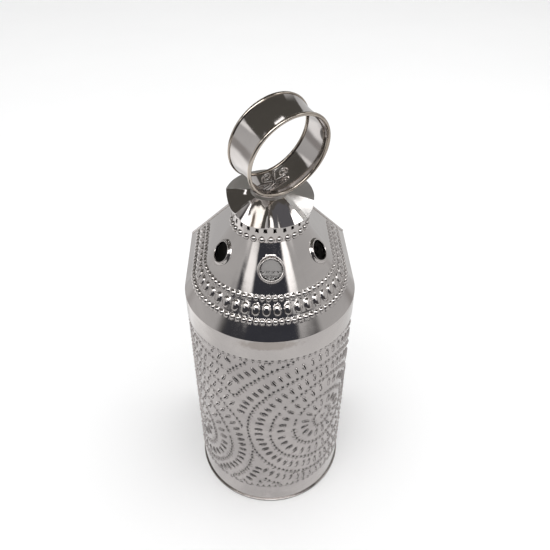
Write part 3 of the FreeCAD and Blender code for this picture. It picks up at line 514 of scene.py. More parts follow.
# centres of the ring patterns: arc length and level
RING_CENTRES = [(49.0 * BODY_SCALE, 108.5), (-88.9 * BODY_SCALE, 79.1),
                (186.0 * BODY_SCALE, 90.0), (-205.0 * BODY_SCALE, 128.0)]
DOT_RINGS = [("dot", 10.15 + 19.95 * i, 4.55) for i in range(9)]  # kind, radius, pitch
SLIT_RINGS = [("slit", radius, pitch) for radius, pitch in (
    (19.6, 7.6), (41.0, 8.6), (60.2, 7.2), (79.5, 7.2),
    (99.4, 7.4), (118.3, 7.4), (138.0, 7.4), (158.0, 7.4))]
TOP_ROW, BOTTOM_ROW = 197.0, 25.2  # levels of the border rows
ROW_CLEAR = 2.6
BODY_GAP = 0.02


def add_body_slit(field, u, z, angle):
    """Adds a slit, or a shorter one or a small dot where there is less room."""
    size = rng.uniform(0.93, 1.06)
    full = slit(u, z, angle + rng.uniform(-0.09, 0.09), 4.2 * size,
                2.0 * rng.uniform(0.92, 1.08), rng.uniform(0.9, 1.0))
    if field.add(full, BODY_GAP):
        return
    if not field.add(slit(u, z, angle, 2.8, 1.6, 0.92, 12), BODY_GAP):
        field.add(dot(u, z, 1.5, 1.05), BODY_GAP)


def body_marks():
    """Border rows of dots, and rings of dots and slits round each centre up to the next one's."""
    field = Field()
    for z, pitch in ((TOP_ROW, 5.0), (BOTTOM_ROW, 5.6)):
        n = int(2 * BODY_LIMIT / pitch)
        for i in range(n + 1):
            u = -BODY_LIMIT + 2 * BODY_LIMIT * i / n + rng.uniform(-0.25, 0.25)
            field.add(dot(u, z + rng.uniform(-0.2, 0.2), rng.uniform(1.8, 1.98),
                          rng.uniform(0.88, 0.98)), OVERLAP)

    def nearest(u, z):
        away = [(u - cu) ** 2 + (z - cz) ** 2 for cu, cz in RING_CENTRES]
        return away.index(min(away))

    for i, (cu, cz) in enumerate(RING_CENTRES):
        if abs(cu) < BODY_LIMIT - 2:
            field.add(dot(cu, cz, 1.85, 1.24), 0.25)
        for kind, ring, pitch in DOT_RINGS + SLIT_RINGS:
            n = max(6, int(round(2 * math.pi * ring / pitch)))
            start = rng.uniform(0, 6.28)
            wave = rng.uniform(0, 6.28)
            for j in range(n):
                angle = start + 2 * math.pi * j / n + rng.uniform(-0.5, 0.5) / ring
                radius = ring + rng.uniform(-0.35, 0.35) + 0.5 * math.sin(3 * angle + wave)
                u, z = cu + radius * math.cos(angle), cz + radius * math.sin(angle)
                between = BOTTOM_ROW + ROW_CLEAR < z < TOP_ROW - ROW_CLEAR
                if abs(u) > BODY_LIMIT - 0.5 or not between or nearest(u, z) != i:
                    continue
                if kind == "dot":
                    field.add(dot(u, z, rng.uniform(1.72, 1.98), rng.uniform(1.12, 1.26)),
                              BODY_GAP)
                else:
                    add_body_slit(field, u, z, angle)
    return field.marks


def place_on_body(u, z):
    x, y, nx, ny = d_plan(u, R_BODY)
    straight = np.abs(u) > BODY_HALF
    inset = BODY_FACE / R_BODY
    x = np.where(straight, np.sign(x) * BODY_FACE, x * inset)
    y = np.where(straight, y, y * inset)
    return np.stack([x, y, z], 1), np.stack([nx, ny, np.zeros_like(nx)], 1)


def build_body():
    marks = body_marks()
    zs = np.unique(np.concatenate([
        [FOOT], np.linspace(FOOT + 1.0, 22.0, 6), np.linspace(25.0, 198.0, 62),
        np.linspace(200.0, TOP, 4)]))
    grid = grid_points(d_stations(BODY_HALF, BODY_END, 90, 22), zs)
    loose = (np.abs(grid[:, 0]) < BODY_END - 0.1) & (grid[:, 1] > 24) & (grid[:, 1] < 198.5)
    grid[loose] += rng.uniform(-0.25, 0.25, (loose.sum(), 2))
    ob = relief("body_sheet_punched", marks, grid, place_on_body, THICK,
                [mats["tin_punched"], mats["tin_inside"]])
    fit(ob, "body_sheet")


build_body()

# ------------------------------------------------------------------ roof
ROOF_HALF = R_ROOF * math.pi / 2
ROOF_END = ROOF_HALF + BACK
ROOF_HOLE = 28.25  # radius of the opening under the gallery collar
ROOF_MARGIN = 4.0  # plain sheet at both ends of each row of bosses
BEAD_ROWS = ((245.3, 4.7, 2.15, 1.6), (231.1, 4.75, 2.25, 1.75))  # level, pitch, radius, height
BEAD_LOOPS = [(1.03, 1.03, 0.0), (0.95, 0.95, 0.45), (0.76, 0.76, 0.78), (0.44, 0.44, 0.95)]
EGG_LEVEL, EGG_PITCH, EGG_ALONG, EGG_ACROSS, EGG_CREST = 238.3, 8.0, 4.8, 3.45, 1.9
EGG_LOOPS = [(1.0, 1.0, 0.0), (0.95, 0.92, 0.72), (0.86, 0.80, 1.22), (0.66, 0.58, 1.62),
             (0.36, 0.30, 1.84)]
VENT_STATIONS = (-79.4, 0.0, 79.4)  # arc lengths at the eaves
VENT_LEVEL = APEX - 39.8 * RISE / R_ROOF  # where the cone's radius is 39.8
VENT_RADIUS = 10.6
VENT_LOOPS = [(1.0, 1.0, 0.0), (0.93, 0.93, 0.12), (0.885, 0.885, 0.8), (0.865, 0.865, 1.9),
              (0.84, 0.84, 2.35), (0.79, 0.79, 2.4), (0.745, 0.745, 2.2)]
RIDGE_LEVELS = (242.75, 233.9)
RIDGE_SECTION = ((-0.42, 0.0), (0.0, 0.32), (0.42, 0.0))  # level offset, height


def place_on_roof(u, z):
    x, y, nx, ny = d_plan(u, R_ROOF)
    shrink = (APEX - z) / RISE
    normal = [nx * NORMAL_OUT, ny * NORMAL_OUT, np.full_like(nx, NORMAL_UP)]
    return np.stack([x * shrink, y * shrink, z], 1), np.stack(normal, 1)


def roof_top(u):
    """Level where the sheet meets the round opening."""
    x, y, _, _ = d_plan(u, R_ROOF)
    return APEX - RISE * ROOF_HOLE / np.hypot(x, y)


def roof_row(z, pitch, jitter):
    """Arc lengths of a row, drawn one at a time so each mark's own draws follow its place."""
    shrink = (APEX - z) / RISE
    span = 2 * ROOF_END - 2 * ROOF_MARGIN / shrink
    n = int(round(span * shrink / pitch))
    for i in range(n):
        u = -ROOF_END + ROOF_MARGIN / shrink + span * (i + 0.5) / n
        yield u + rng.uniform(-jitter, jitter)


def roof_marks():
    marks = []
    for z, pitch, radius, height in BEAD_ROWS:
        for u in roof_row(z, pitch, 0.2):
            size = rng.uniform(0.96, 1.03)
            marks.append(Mark(u, z + rng.uniform(-0.12, 0.12), 0.0, radius * size, radius * size,
                              scaled(BEAD_LOOPS, height), 12, crest=height))
    for u in roof_row(EGG_LEVEL, EGG_PITCH, 0.25):
        size = rng.uniform(0.95, 1.04)
        marks.append(Mark(u, EGG_LEVEL, math.pi / 2 + rng.uniform(-0.04, 0.04),
                          EGG_ALONG * size, EGG_ACROSS * size, EGG_LOOPS, 20, crest=EGG_CREST))
    for u in VENT_STATIONS:
        marks.append(Mark(u, VENT_LEVEL, 0.0, VENT_RADIUS, VENT_RADIUS, VENT_LOOPS, 48,
                          hole=True))
    return marks


def build_roof():
    ridges = [(float(u), level + dz, height)
              for level in RIDGE_LEVELS
              for u in np.arange(-ROOF_END + 1.0, ROOF_END - 0.5, 1.6)
              for dz, height in RIDGE_SECTION]
    us = d_stations(ROOF_HALF, ROOF_END, 150, 26)
    grid = []
    for u, top in zip(us, roof_top(us)):
        zs = np.concatenate([[EAVES, EAVES + 0.7], np.arange(EAVES + 2.4, top - 1.0, 2.2), [top]])
        for level in RIDGE_LEVELS:
            zs = zs[np.abs(zs - level) > 0.75]
        grid += [(u, z) for z in zs]
    ob = relief("roof_sheet_embossed", roof_marks(), grid, place_on_roof, THICK,
                [mats["tin_roof"], mats["tin_roof_inside"]],
                metric=lambda z: (RISE / (APEX - z), NORMAL_OUT),
                keep=lambda u, z: z < roof_top(u) + 1e-3,
                extra=ridges, smooth=50.0, clear=0.35)
    fit(ob, "roof_sheet")


build_roof()

# ------------------------------------------------------------------ eaves band
BAND_BACK = 72.0  # y of the band's inner back face
BAND_OUT = 0.6  # how far it stands out of the body
# section as (offset outwards, level), with a fine groove near the top
BAND_SECTION = [
    (0.0, BAND_FOOT), (0.42, BAND_FOOT), (0.58, BAND_FOOT + 0.15), (BAND_OUT, BAND_FOOT + 0.5),
    *[(BAND_OUT, z) for z in np.linspace(BAND_FOOT + 2.5, EAVES - 2.9, 8)],
    (BAND_OUT, EAVES - 1.9), (0.52, EAVES - 1.7), (BAND_OUT, EAVES - 1.45),
    (BAND_OUT, EAVES - 0.15), (0.5, EAVES), (0.0, EAVES),
]


def d_loop(offset):
    """Closed D outline moved outwards by offset, corners mitred."""
    r, back = R_BODY + offset, BAND_BACK + offset
    points = [(r * math.sin(a), -r * math.cos(a))
              for a in np.linspace(-math.pi / 2, math.pi / 2, 97)]
    points += [(r, y) for y in np.linspace(0, back, 13)[1:]]
    points += [(x, back) for x in np.linspace(r, -r, 15)[1:]]
    points += [(-r, y) for y in np.linspace(back, 0, 13)[1:-1]]
    return points


def build_band():
    loops = [[(x, y, z) for x, y in d_loop(offset)] for offset, z in BAND_SECTION]
    n = len(loops[0])
    faces = []
    for k in range(len(loops)):
        here, above = k * n, (k + 1) % len(loops) * n
        for i in range(n):
            j = (i + 1) % n
            faces.append((here + i, here + j, above + j, above + i))
    verts = [point for loop in loops for point in loop]
    ob = add_mesh("eaves_band_seamed", verts, faces, [mats["tin_band"]], 40.0)
    fit(ob, "eaves_band")


build_band()

# ------------------------------------------------------------------ gallery collar
COLLAR_RADIUS = 28.2
COLLAR_SLOTS = 26
SLOT_LEVEL = 288.3
SLOT_LOOPS = [(1.35, 1.25, 0.0), (1.12, 1.08, 0.18), (1.0, 1.0, 0.22)]
BEAD_COUNT = 28
BEAD_PLACE = (28.15, 281.0)  # radius and level
BEAD_NORMAL = (0.94, 0.34)  # outwards and upwards
BEAD_RADIUS, BEAD_HEIGHT = 2.75, 2.5
BEAD_RINGS, BEAD_SEGMENTS = 7, 20
BEAD_GAPS = ((24, 62), (118, 156))  # degrees from +X towards +Y: back right and back left


def build_gallery_tube():
    (_, _, foot), (_, _, top) = box_mm("gallery_collar")
    span = math.pi * COLLAR_RADIUS
    stations = [-span + 2 * span * (i + 0.5 + rng.uniform(-0.08, 0.08)) / COLLAR_SLOTS
                for i in range(COLLAR_SLOTS)]
    marks = []
    for u in stations:
        wide = rng.uniform(1.05, 1.3)
        high = rng.uniform(1.55, 1.8)
        z = SLOT_LEVEL + rng.uniform(-0.15, 0.15)
        marks.append(Mark(u, z, 0.0, wide, high, SLOT_LOOPS, 20, hole=True, power=0.35))

    def place(u, z):
        """Slightly tapering, with a shallow rib at the middle of each slot's share."""
        angle = u / COLLAR_RADIUS
        nx, ny = np.sin(angle), -np.cos(angle)
        share = (u + span) / (2 * span) * COLLAR_SLOTS
        taper = 0.14 * np.clip(z - 283.0, 0.0, 9.0)
        groove = 0.32 * np.abs(np.cos(np.pi * share)) ** 3 * (z > 284.0)
        r = COLLAR_RADIUS + 0.55 - taper - groove
        return np.stack([r * nx, r * ny, z], 1), np.stack([nx, ny, np.zeros_like(nx)], 1)

    zs = np.concatenate([np.linspace(foot, foot + 6, 5), np.linspace(foot + 7.2, top, 11)])
    grid = grid_points(np.linspace(-span, span, 235), zs)
    return relief("gallery_tube", marks, grid, place, 0.6,
                  [mats["tin_gallery"], mats["tin_roof_inside"]], clear=0.3)


def add_bead(verts, faces, point, normal, radius):
    """A closed domed cap that sinks a little into the sheet."""
    normal = normal / np.linalg.norm(normal)
    side = np.cross(normal, [0, 0, 1.0])
    side /= np.linalg.norm(side)
    up = np.cross(normal, side)
    base, seg = len(verts), BEAD_SEGMENTS
    for k in range(BEAD_RINGS):
        climb = (math.pi / 2) * k / BEAD_RINGS
        r, h = radius * math.cos(climb), BEAD_HEIGHT * math.sin(climb)
        for i in range(seg):
            turn = 2 * math.pi * i / seg
            verts.append(point + side * r * math.cos(turn) + up * r * math.sin(turn) + normal * h)
    tip, bottom = len(verts), len(verts) + 1
    verts += [point + normal * BEAD_HEIGHT, point - normal * 0.3]
    last = base + (BEAD_RINGS - 1) * seg
    for row in range(base, last, seg):
        for i in range(seg):
            j = (i + 1) % seg
            faces.append((row + i, row + seg + i, row + seg + j, row + j))
    for i in range(seg):
        j = (i + 1) % seg
        faces.append((last + i, tip, last + j))
        faces.append((base + i, base + j, bottom))


def build_gallery_beads():
    verts, faces = [], []
    radius, level = BEAD_PLACE
    out, up = BEAD_NORMAL
    for i in range(BEAD_COUNT):
        angle = 2 * math.pi * i / BEAD_COUNT + rng.uniform(-0.012, 0.012)
        nx, ny = math.sin(angle), -math.cos(angle)
        bearing = math.degrees(math.atan2(ny, nx)) % 360
        if any(start < bearing < stop for start, stop in BEAD_GAPS):
            continue
        add_bead(verts, faces, np.array([nx * radius, ny * radius, level]),
                 np.array([nx * out, ny * out, up]), BEAD_RADIUS * rng.uniform(0.96, 1.03))
    return add_mesh("gallery_beads", verts, faces, [mats["tin_gallery"]], 60.0)


def build_gallery():
    tube = build_gallery_tube()
    beads = build_gallery_beads()
    bpy.ops.object.select_all(action="DESELECT")
    tube.select_set(True)
    beads.select_set(True)
    bpy.context.view_layer.objects.active = tube
    bpy.ops.object.join()
    tube.name = "gallery_collar_beaded"
    tube.data.name = "gallery_collar_beaded"
    fit(tube, "gallery_collar")


build_gallery()

# ------------------------------------------------------------------ ruffled crown
# Angles are in degrees from the front (-Y) towards +X. Each row has:
# ridge (angle, radius, level); shoulder after it (degrees on, radius, level); middle of the
# panel (radius, level); shoulder before the next ridge (degrees short, radius, level); dished
PLEATS = (
    ((-101.0, 32.8, 304.2), (13.2, 31.4, 300.1), (30.2, 295.9), (7.0, 30.8, 297.4), False),
    ((-48.0, 32.6, 300.6), (5.0, 30.8, 293.6), (29.6, 291.4), (7.0, 30.4, 292.2), True),
    ((-3.0, 31.7, 294.8), (11.5, 30.4, 292.6), (29.6, 291.4), (9.5, 30.4, 291.9), True),
    ((45.0, 33.0, 294.4), (7.5, 32.0, 292.6), (31.2, 291.3), (6.0, 33.0, 297.2), False),
    ((76.0, 33.0, 301.6), (11.0, 32.9, 302.0), (32.8, 302.6), (11.0, 32.9, 303.4), False),
    ((121.0, 33.0, 304.0), (9.0, 31.0, 299.0), (29.8, 294.2), (9.0, 31.4, 301.0), True),
    ((170.0, 33.0, 305.3), (14.0, 33.0, 305.3), (32.9, 305.2), (14.0, 32.9, 305.1), False),
    ((225.0, 33.0, 305.0), (8.5, 32.8, 304.9), (32.7, 304.7), (8.5, 32.7, 304.4), False),
)
PLEAT_COLUMNS = 16
PINCHED_PLEAT, PINCH_DROP = 2, 1.3  # the low front ridge is dented at its tip
# The remaining crown panels take a lighter, rougher copy of the crown tin, painted pale as
# painted light for the light grey they reflect.
BRIGHT_PLEATS = 3  # the first panels, from the left round to the front, are the bright ones
CROWN_FLAT, CROWN_LEVEL, CROWN_THICK = 14.0, 305.499, 0.7  # flat centre's radius, top level
CROWN_HOLE = (2.91, -0.72, 1.85)  # x, y and radius of the staple's hole
CROWN_RINGS = 9


def crown_columns():
    """The crown's outer edge as (angle, radius, level), 16 columns to a pleat."""
    columns = []

    def blend(x, ridge, shoulder, angle, bow):
        share = (1 - x) ** bow
        columns.append((angle, shoulder[1] + (ridge[1] - shoulder[1]) * share,
                        shoulder[2] + (ridge[2] - shoulder[2]) * share))

    for i, (ridge, after, middle, before, dished) in enumerate(PLEATS):
        following = PLEATS[(i + 1) % len(PLEATS)][0]
        next_angle = following[0] + (360.0 if i == len(PLEATS) - 1 else 0.0)
        start, stop = ridge[0] + after[0], next_angle - before[0]
        bow = 1.5 if dished else 1.0
        for x in (0.0, 0.2, 0.45, 0.7):
            blend(x, ridge, after, ridge[0] + after[0] * x, bow)
        for t in np.linspace(0, 1, 9):
            _, radius, level = after if t < 0.5 else before
            share = abs(1 - 2 * t) ** (2.0 if dished else 1.0)
            columns.append((start + (stop - start) * t, middle[0] + (radius - middle[0]) * share,
                            middle[1] + (level - middle[1]) * share))
        for x in (0.7, 0.45, 0.2):
            blend(x, following, before, next_angle - before[0] * x, bow)
    pinched = PINCHED_PLEAT * PLEAT_COLUMNS
    angle, radius, level = columns[pinched]
    columns[pinched] = (angle, radius, level - PINCH_DROP)
    return columns


def build_crown():
    columns = crown_columns()
    top, bottom = [], []
    for degrees, edge_radius, edge_level in columns:
        a = math.radians(degrees)
        for q in np.linspace(0, 1, CROWN_RINGS):
            r = CROWN_FLAT + (edge_radius - CROWN_FLAT) * q
            z = CROWN_LEVEL + (edge_level - CROWN_LEVEL) * q ** 1.1
            top.append((r * math.sin(a), -r * math.cos(a), z))
            bottom.append((r * math.sin(a), -r * math.cos(a), z - CROWN_THICK))
    verts = top + bottom
    hx, hy, hr = CROWN_HOLE
    for level in (CROWN_LEVEL, CROWN_LEVEL - CROWN_THICK):
        for degrees, _, _ in columns:
            a = math.radians(degrees)
            verts.append((hx + hr * math.sin(a), hy - hr * math.cos(a), level))

    n, base, outer = len(columns), len(top), CROWN_RINGS - 1
    faces = []
    for c in range(n):
        here, there = c * CROWN_RINGS, (c + 1) % n * CROWN_RINGS
        for k in range(outer):
            quad = (here + k, here + k + 1, there + k + 1, there + k)
            faces.append(quad)
            faces.append(tuple(base + v for v in reversed(quad)))
        faces.append((here + outer, base + here + outer, base + there + outer, there + outer))
    bright = BRIGHT_PLEATS * PLEAT_COLUMNS * (2 * outer + 1)
    hole_top, hole_bottom = 2 * base, 2 * base + n
    for c in range(n):
        d = (c + 1) % n
        here, there = c * CROWN_RINGS, d * CROWN_RINGS
        faces.append((hole_top + c, here, there, hole_top + d))
        faces.append((hole_bottom + d, base + there, base + here, hole_bottom + c))
        faces.append((hole_top + d, hole_bottom + d, hole_bottom + c, hole_top + c))
    # faces past the mirror pleats take the second slot: the pale copy of the crown tin, painted
    # light for the light grey those panels reflect
    slots = [0] * bright + [1] * (len(faces) - bright)
    ob = add_mesh("ruffle_crown_pleated", verts, faces,
                  [mats["tin_crown"], mats["tin_crown_back"]], 26.0, slots)
    fit(ob, "ruffle_crown")


build_crown()

# ------------------------------------------------------------------ ring handle
rock = [j for j in frame["joints"] if j["name"] == "handle_rock"][0]
PIVOT = np.array(rock["pos_m"]) / MM
YAW, LEAN = math.radians(33.3), math.radians(13.4)
SIDEWAYS = np.array([math.cos(YAW), math.sin(YAW), 0.0])
AXLE = np.array([math.sin(YAW) * math.cos(LEAN), -math.cos(YAW) * math.cos(LEAN),
                 -math.sin(LEAN)])  # the ring's axis
UPWARDS = np.cross(AXLE, SIDEWAYS)
RING_RADIUS = 31.2  # inside, at the middle of the strap
RING_CENTRE = PIVOT + UPWARDS * (RING_RADIUS - 0.55 - 0.05)
HOLLOW = 60.0  # radius of the strap's curve across its width
HOLLOW_CENTRE = RING_RADIUS + THICK + HOLLOW
STRAP_HALF, STRAP_HALF_IN = 11.35, 11.25  # half widths of the two sides
STRAP_FACES = 24  # across the width
ROLL_CENTRE, ROLL_RADIUS = (32.6, 12.3), 1.4  # the rolled edges: radius and distance sideways
SLOT_HALF_ANGLE = 0.9 / 31.6
SLOT_FACES = (9, 15)  # the six middle faces of the width are open at the slot


def strap_section():
    """Closed section as (radius, place across): two curved sides between two rolled edges."""
    def side(hollow, half):
        return [(HOLLOW_CENTRE - math.sqrt(hollow ** 2 - w * w), w)
                for w in np.linspace(half, -half, STRAP_FACES + 1)]

    outer = side(HOLLOW, STRAP_HALF)
    inner = side(HOLLOW + THICK, -STRAP_HALF_IN)
    rc, wc = ROLL_CENTRE
    start = math.atan2(outer[-1][1] + wc, outer[-1][0] - rc)
    stop = math.atan2(inner[0][1] + wc, inner[0][0] - rc) - 2 * math.pi
    roll = [(rc + ROLL_RADIUS * math.cos(a), -wc + ROLL_RADIUS * math.sin(a))
            for a in np.linspace(start, stop, 22)[1:-1]]
    return outer + roll + inner + [(r, -w) for r, w in reversed(roll)], len(outer) + len(roll)


def build_strap():
    section, inner_start = strap_section()
    n = len(section)
    # turns round the ring from its lowest point, with lines at the ends of the slot
    angles = np.unique(np.concatenate([
        np.linspace(0, 2 * math.pi, 181)[:-1],
        [SLOT_HALF_ANGLE, 2 * math.pi - SLOT_HALF_ANGLE]]))
    m = len(angles)
    verts = []
    for a in angles:
        outward = -UPWARDS * math.cos(a) + SIDEWAYS * math.sin(a)
        wave = 0.06 * math.sin(2 * a + 0.6) + 0.03 * math.sin(5 * a)
        verts += [RING_CENTRE + outward * (r + wave) + AXLE * w for r, w in section]

    first, last = SLOT_FACES
    open_faces = {start + k for start in (0, inner_start) for k in range(first, last)}
    faces, slots = [], []
    for i in range(m):
        j = (i + 1) % m
        for k in range(n):
            if i in (0, m - 1) and k in open_faces:
                continue
            l = (k + 1) % n
            faces.append((i * n + k, j * n + k, j * n + l, i * n + l))
            rolled = STRAP_FACES <= k < inner_start or k >= inner_start + STRAP_FACES
            slots.append(1 if rolled else 0)

    # the slot's four walls
    def across(i, k):
        """The vertex on the second side that lies under vertex k of the first."""
        return i * n + inner_start + STRAP_FACES - k

    for i, j in ((m - 1, 0), (0, 1)):
        faces.append((i * n + first, j * n + first, across(j, first), across(i, first)))
        faces.append((j * n + last, i * n + last, across(i, last), across(j, last)))
    for k in range(first, last):
        for i, p, q in ((m - 1, k + 1, k), (1, k, k + 1)):
            faces.append((i * n + p, i * n + q, across(i, q), across(i, p)))
    slots += [0] * (len(faces) - len(slots))
    ob = add_mesh("handle_strap_rolled", verts, faces,
                  [mats["tin_strap"], mats["tin_rolled_edge"]], 42.0, slots)
    bm = bmesh.new()
    bm.from_mesh(ob.data)
    bmesh.ops.recalc_face_normals(bm, faces=bm.faces)
    bm.to_mesh(ob.data)
    bm.free()
    fit(ob, "handle_strap", part="handle")


build_strap()

# ------------------------------------------------------------------ pierced door
DOOR_INSET = 5.0  # from the door's edges to the border dots
DOOR_CENTRES = (60.0, 138.0)  # levels of the two ring patterns
DOOR_RINGS = (("dot", 10.0, 4.6), ("slit", 18.6, 7.8), ("dot", 27.6, 4.6))  # radius, pitch
DOOR_MIDDLE = 99.0
MIDDLE_RINGS = (("slit", 11.0), ("dot", 4.6))
DOOR_CLEAR = 1.6  # room a mark needs
DOOR_GAP = 0.1


def build_door():
    (x0, y0, z0), (x1, y1, z1) = box_mm("door_panel")
    field = Field()

    def free(u, z):
        """Whether the place is inside the door and off its plain areas. u runs against x."""
        x, r = -u, DOOR_CLEAR
        if x < -37.0 + r and abs(z - DOOR_MIDDLE) < 6.0 + r:
            return False
        if x > 33.0 - r and (32 < z < 60 or 138 < z < 166):
            return False
        if math.hypot(x + 38.0, z - 83.0) < 6.5 + r:
            return False
        return abs(x) < 42.5 - r * 0.2 and z0 + 3.5 < z < z1 - 3.5

    border = [(u, z) for z in (z0 + DOOR_INSET, z1 - DOOR_INSET)
              for u in np.arange(x0 + DOOR_INSET, x1 - 4.9, 5.125)]
    border += [(u, z) for u in (x0 + DOOR_INSET, x1 - DOOR_INSET)
               for z in np.arange(z0 + 10.1, z1 - 8, 5.1)]
    for u, z in border:
        if free(u, z):
            field.add(dot(u, z), OVERLAP)
    for centre in DOOR_CENTRES:
        field.add(dot(0.0, centre), 0.25)
        for kind, r, pitch in DOOR_RINGS:
            n = int(round(2 * math.pi * r / pitch))
            for j in range(n):
                a = 2 * math.pi * j / n + rng.uniform(-0.4, 0.4) / r
                u, z = r * math.cos(a), centre + r * math.sin(a)
                if not free(u, z):
                    continue
                if kind == "dot":
                    field.add(dot(u, z), DOOR_GAP)
                else:
                    field.add(slit(u, z, a + rng.uniform(-0.06, 0.06), 4.0, 1.6), DOOR_GAP)
    for kind, r in MIDDLE_RINGS:
        for j in range(8):
            a = 2 * math.pi * (j + 0.5) / 8
            u, z = r * math.cos(a), DOOR_MIDDLE + r * math.sin(a)
            field.add(dot(u, z) if kind == "dot" else slit(u, z, a, 3.6, 1.5), DOOR_GAP)

    def place(u, z):
        none = np.zeros_like(u)
        return (np.stack([-u, np.full_like(u, y1), z], 1),
                np.stack([none, np.ones_like(u), none], 1))

    grid = grid_points(np.linspace(x0, x1, 38), np.linspace(z0, z1, 64))
    ob = relief("door_panel_punched", field.marks, grid, place, y1 - y0,
                [mats["tin_door"], mats["tin_door_inside"]])
    fit(ob, "door_panel", part="door")


build_door()

# ------------------------------------------------------------------ CAD pieces that stay
PIECE_MATERIALS = {
    "tinned_wire": ("base_rim_wire", "handle_edge_wires", "handle_staple", "locking_scroll_wire"),
    "tin_pan": ("base_pan", "candle_socket", "drip_pan"),
    "tin_back": ("roof_back_panel", "hinge_frame_leaves", "hinge_door_leaves",
                 "latch_turn_button"),
    "tin_back_frame": ("back_frame",),
    "steel_fastener": ("hinge_pins", "hinge_frame_rivets", "hinge_door_rivets", "latch_rivet",
                       "door_pull"),
    "candle_wax": ("candle",),
    "wick_cotton": ("wick",),
}
for material_name, pieces in PIECE_MATERIALS.items():
    for piece in pieces:
        nodes[piece].data.materials.clear()
        nodes[piece].data.materials.append(mats[material_name])
for ob in nodes.values():
    if not ob.data.materials:
        ob.data.materials.append(mats["tin_back"])


# ------------------------------------------------------------------ studio floor
def build_floor():
    """A pale floor that the metal doesn't mirror: it sees the world's studio instead."""
    bpy.ops.mesh.primitive_plane_add(size=7.0, location=(0, 0, 0))
    floor = bpy.context.object
    floor.name = "studio_floor"
    mat, graph, surface = new_material("studio_floor")
    cloud = graph.noise(graph.object_coords(), scale=3.0)
    graph.fill(surface, {
        "Base Color": graph.mix(cloud, (0.90, 0.90, 0.90), (0.93, 0.93, 0.93)),
        "Roughness": 0.85,
        "Specular IOR Level": 0.2,
    })
    glossy = graph.node("ShaderNodeLightPath").outputs["Is Glossy Ray"]
    clear = graph.node("ShaderNodeBsdfTransparent").outputs[0]
    blend = graph.node("ShaderNodeMixShader", {0: glossy, 1: surface.outputs[0], 2: clear})
    graph.fill(graph.find("OUTPUT_MATERIAL"), {0: blend.outputs[0]})
    floor.data.materials.append(mat)


build_floor()


# ------------------------------------------------------------------ world
def grey(value):
    return (value, value, value)


# Patches of the mirrored studio, later ones over earlier ones, in degrees: azimuths from the
# front (-Y) towards +X, elevations, tone, softness in azimuth and elevation, and then, where
# given, whether the patch is on both sides alike and its strength.
ROOM = (
    # dim room above
    ((58.0, 190.0), (38.0, 95.0), (0.115, 0.108, 0.098), (4.0, 1.5), True),
    ((-58.0, 58.0), (57.0, 95.0), (0.13, 0.125, 0.12), (4.0, 2.0)),
    ((152.0, 190.0), (14.0, 95.0), (0.10, 0.095, 0.085), (6.0, 1.2), True),
    ((-190.0, -117.0), (12.0, 95.0), (0.10, 0.095, 0.085), (3.0, 1.2)),
    # dark beyond the front edge of the white sheet, rising to the dark figure in the middle
    ((-66.0, 60.0), (-20.0, 19.0), (0.070, 0.068, 0.070), (7.0, 2.5)),
    ((56.0, 122.0), (-18.0, -4.0), (0.40, 0.385, 0.38), (6.0, 4.0), True),
    ((-60.0, 34.0), (8.0, 24.5), (0.060, 0.062, 0.072), (3.0, 1.2)),
    # lamps above the dark figure and to each side, and the figure itself
    ((-58.0, 58.0), (39.0, 57.0), grey(5.0), (3.0, 2.0)),
    ((58.0, 122.0), (26.0, 34.0), grey(1.5), (6.0, 3.0), True, 0.6),
    ((-50.0, -33.0), (25.5, 31.0), grey(1.45), (3.0, 2.2)),
    ((31.0, 46.0), (24.5, 37.0), grey(2.0), (2.0, 2.5)),
    ((-31.0, 29.5), (16.0, 37.0), (0.052, 0.055, 0.068), (2.0, 1.5)),
)
# what the crown and the ring catch
CROWN_CATCHES = (
    ((-66.0, -42.0), (46.0, 60.0), (2.1, 2.05, 1.95), (2.0, 2.0)),
    ((-60.0, -50.0), (49.0, 56.0), (0.30, 0.245, 0.20), (2.0, 2.0)),
    ((38.0, 74.0), (43.0, 62.0), (0.15, 0.15, 0.165), (2.5, 2.5)),
    ((76.0, 101.0), (37.0, 50.0), grey(2.3), (2.5, 2.5)),
    ((-22.0, 22.0), (59.0, 72.0), grey(0.62), (2.5, 2.5)),
    ((-166.0, -141.0), (43.0, 48.0), grey(2.6), (2.0, 2.0)),
)
# the brightest part of the white sheet, behind on the left
SHEET_GLOW = ((-142.0, -92.0), (-43.0, -22.0), grey(1.25), (8.0, 5.0))


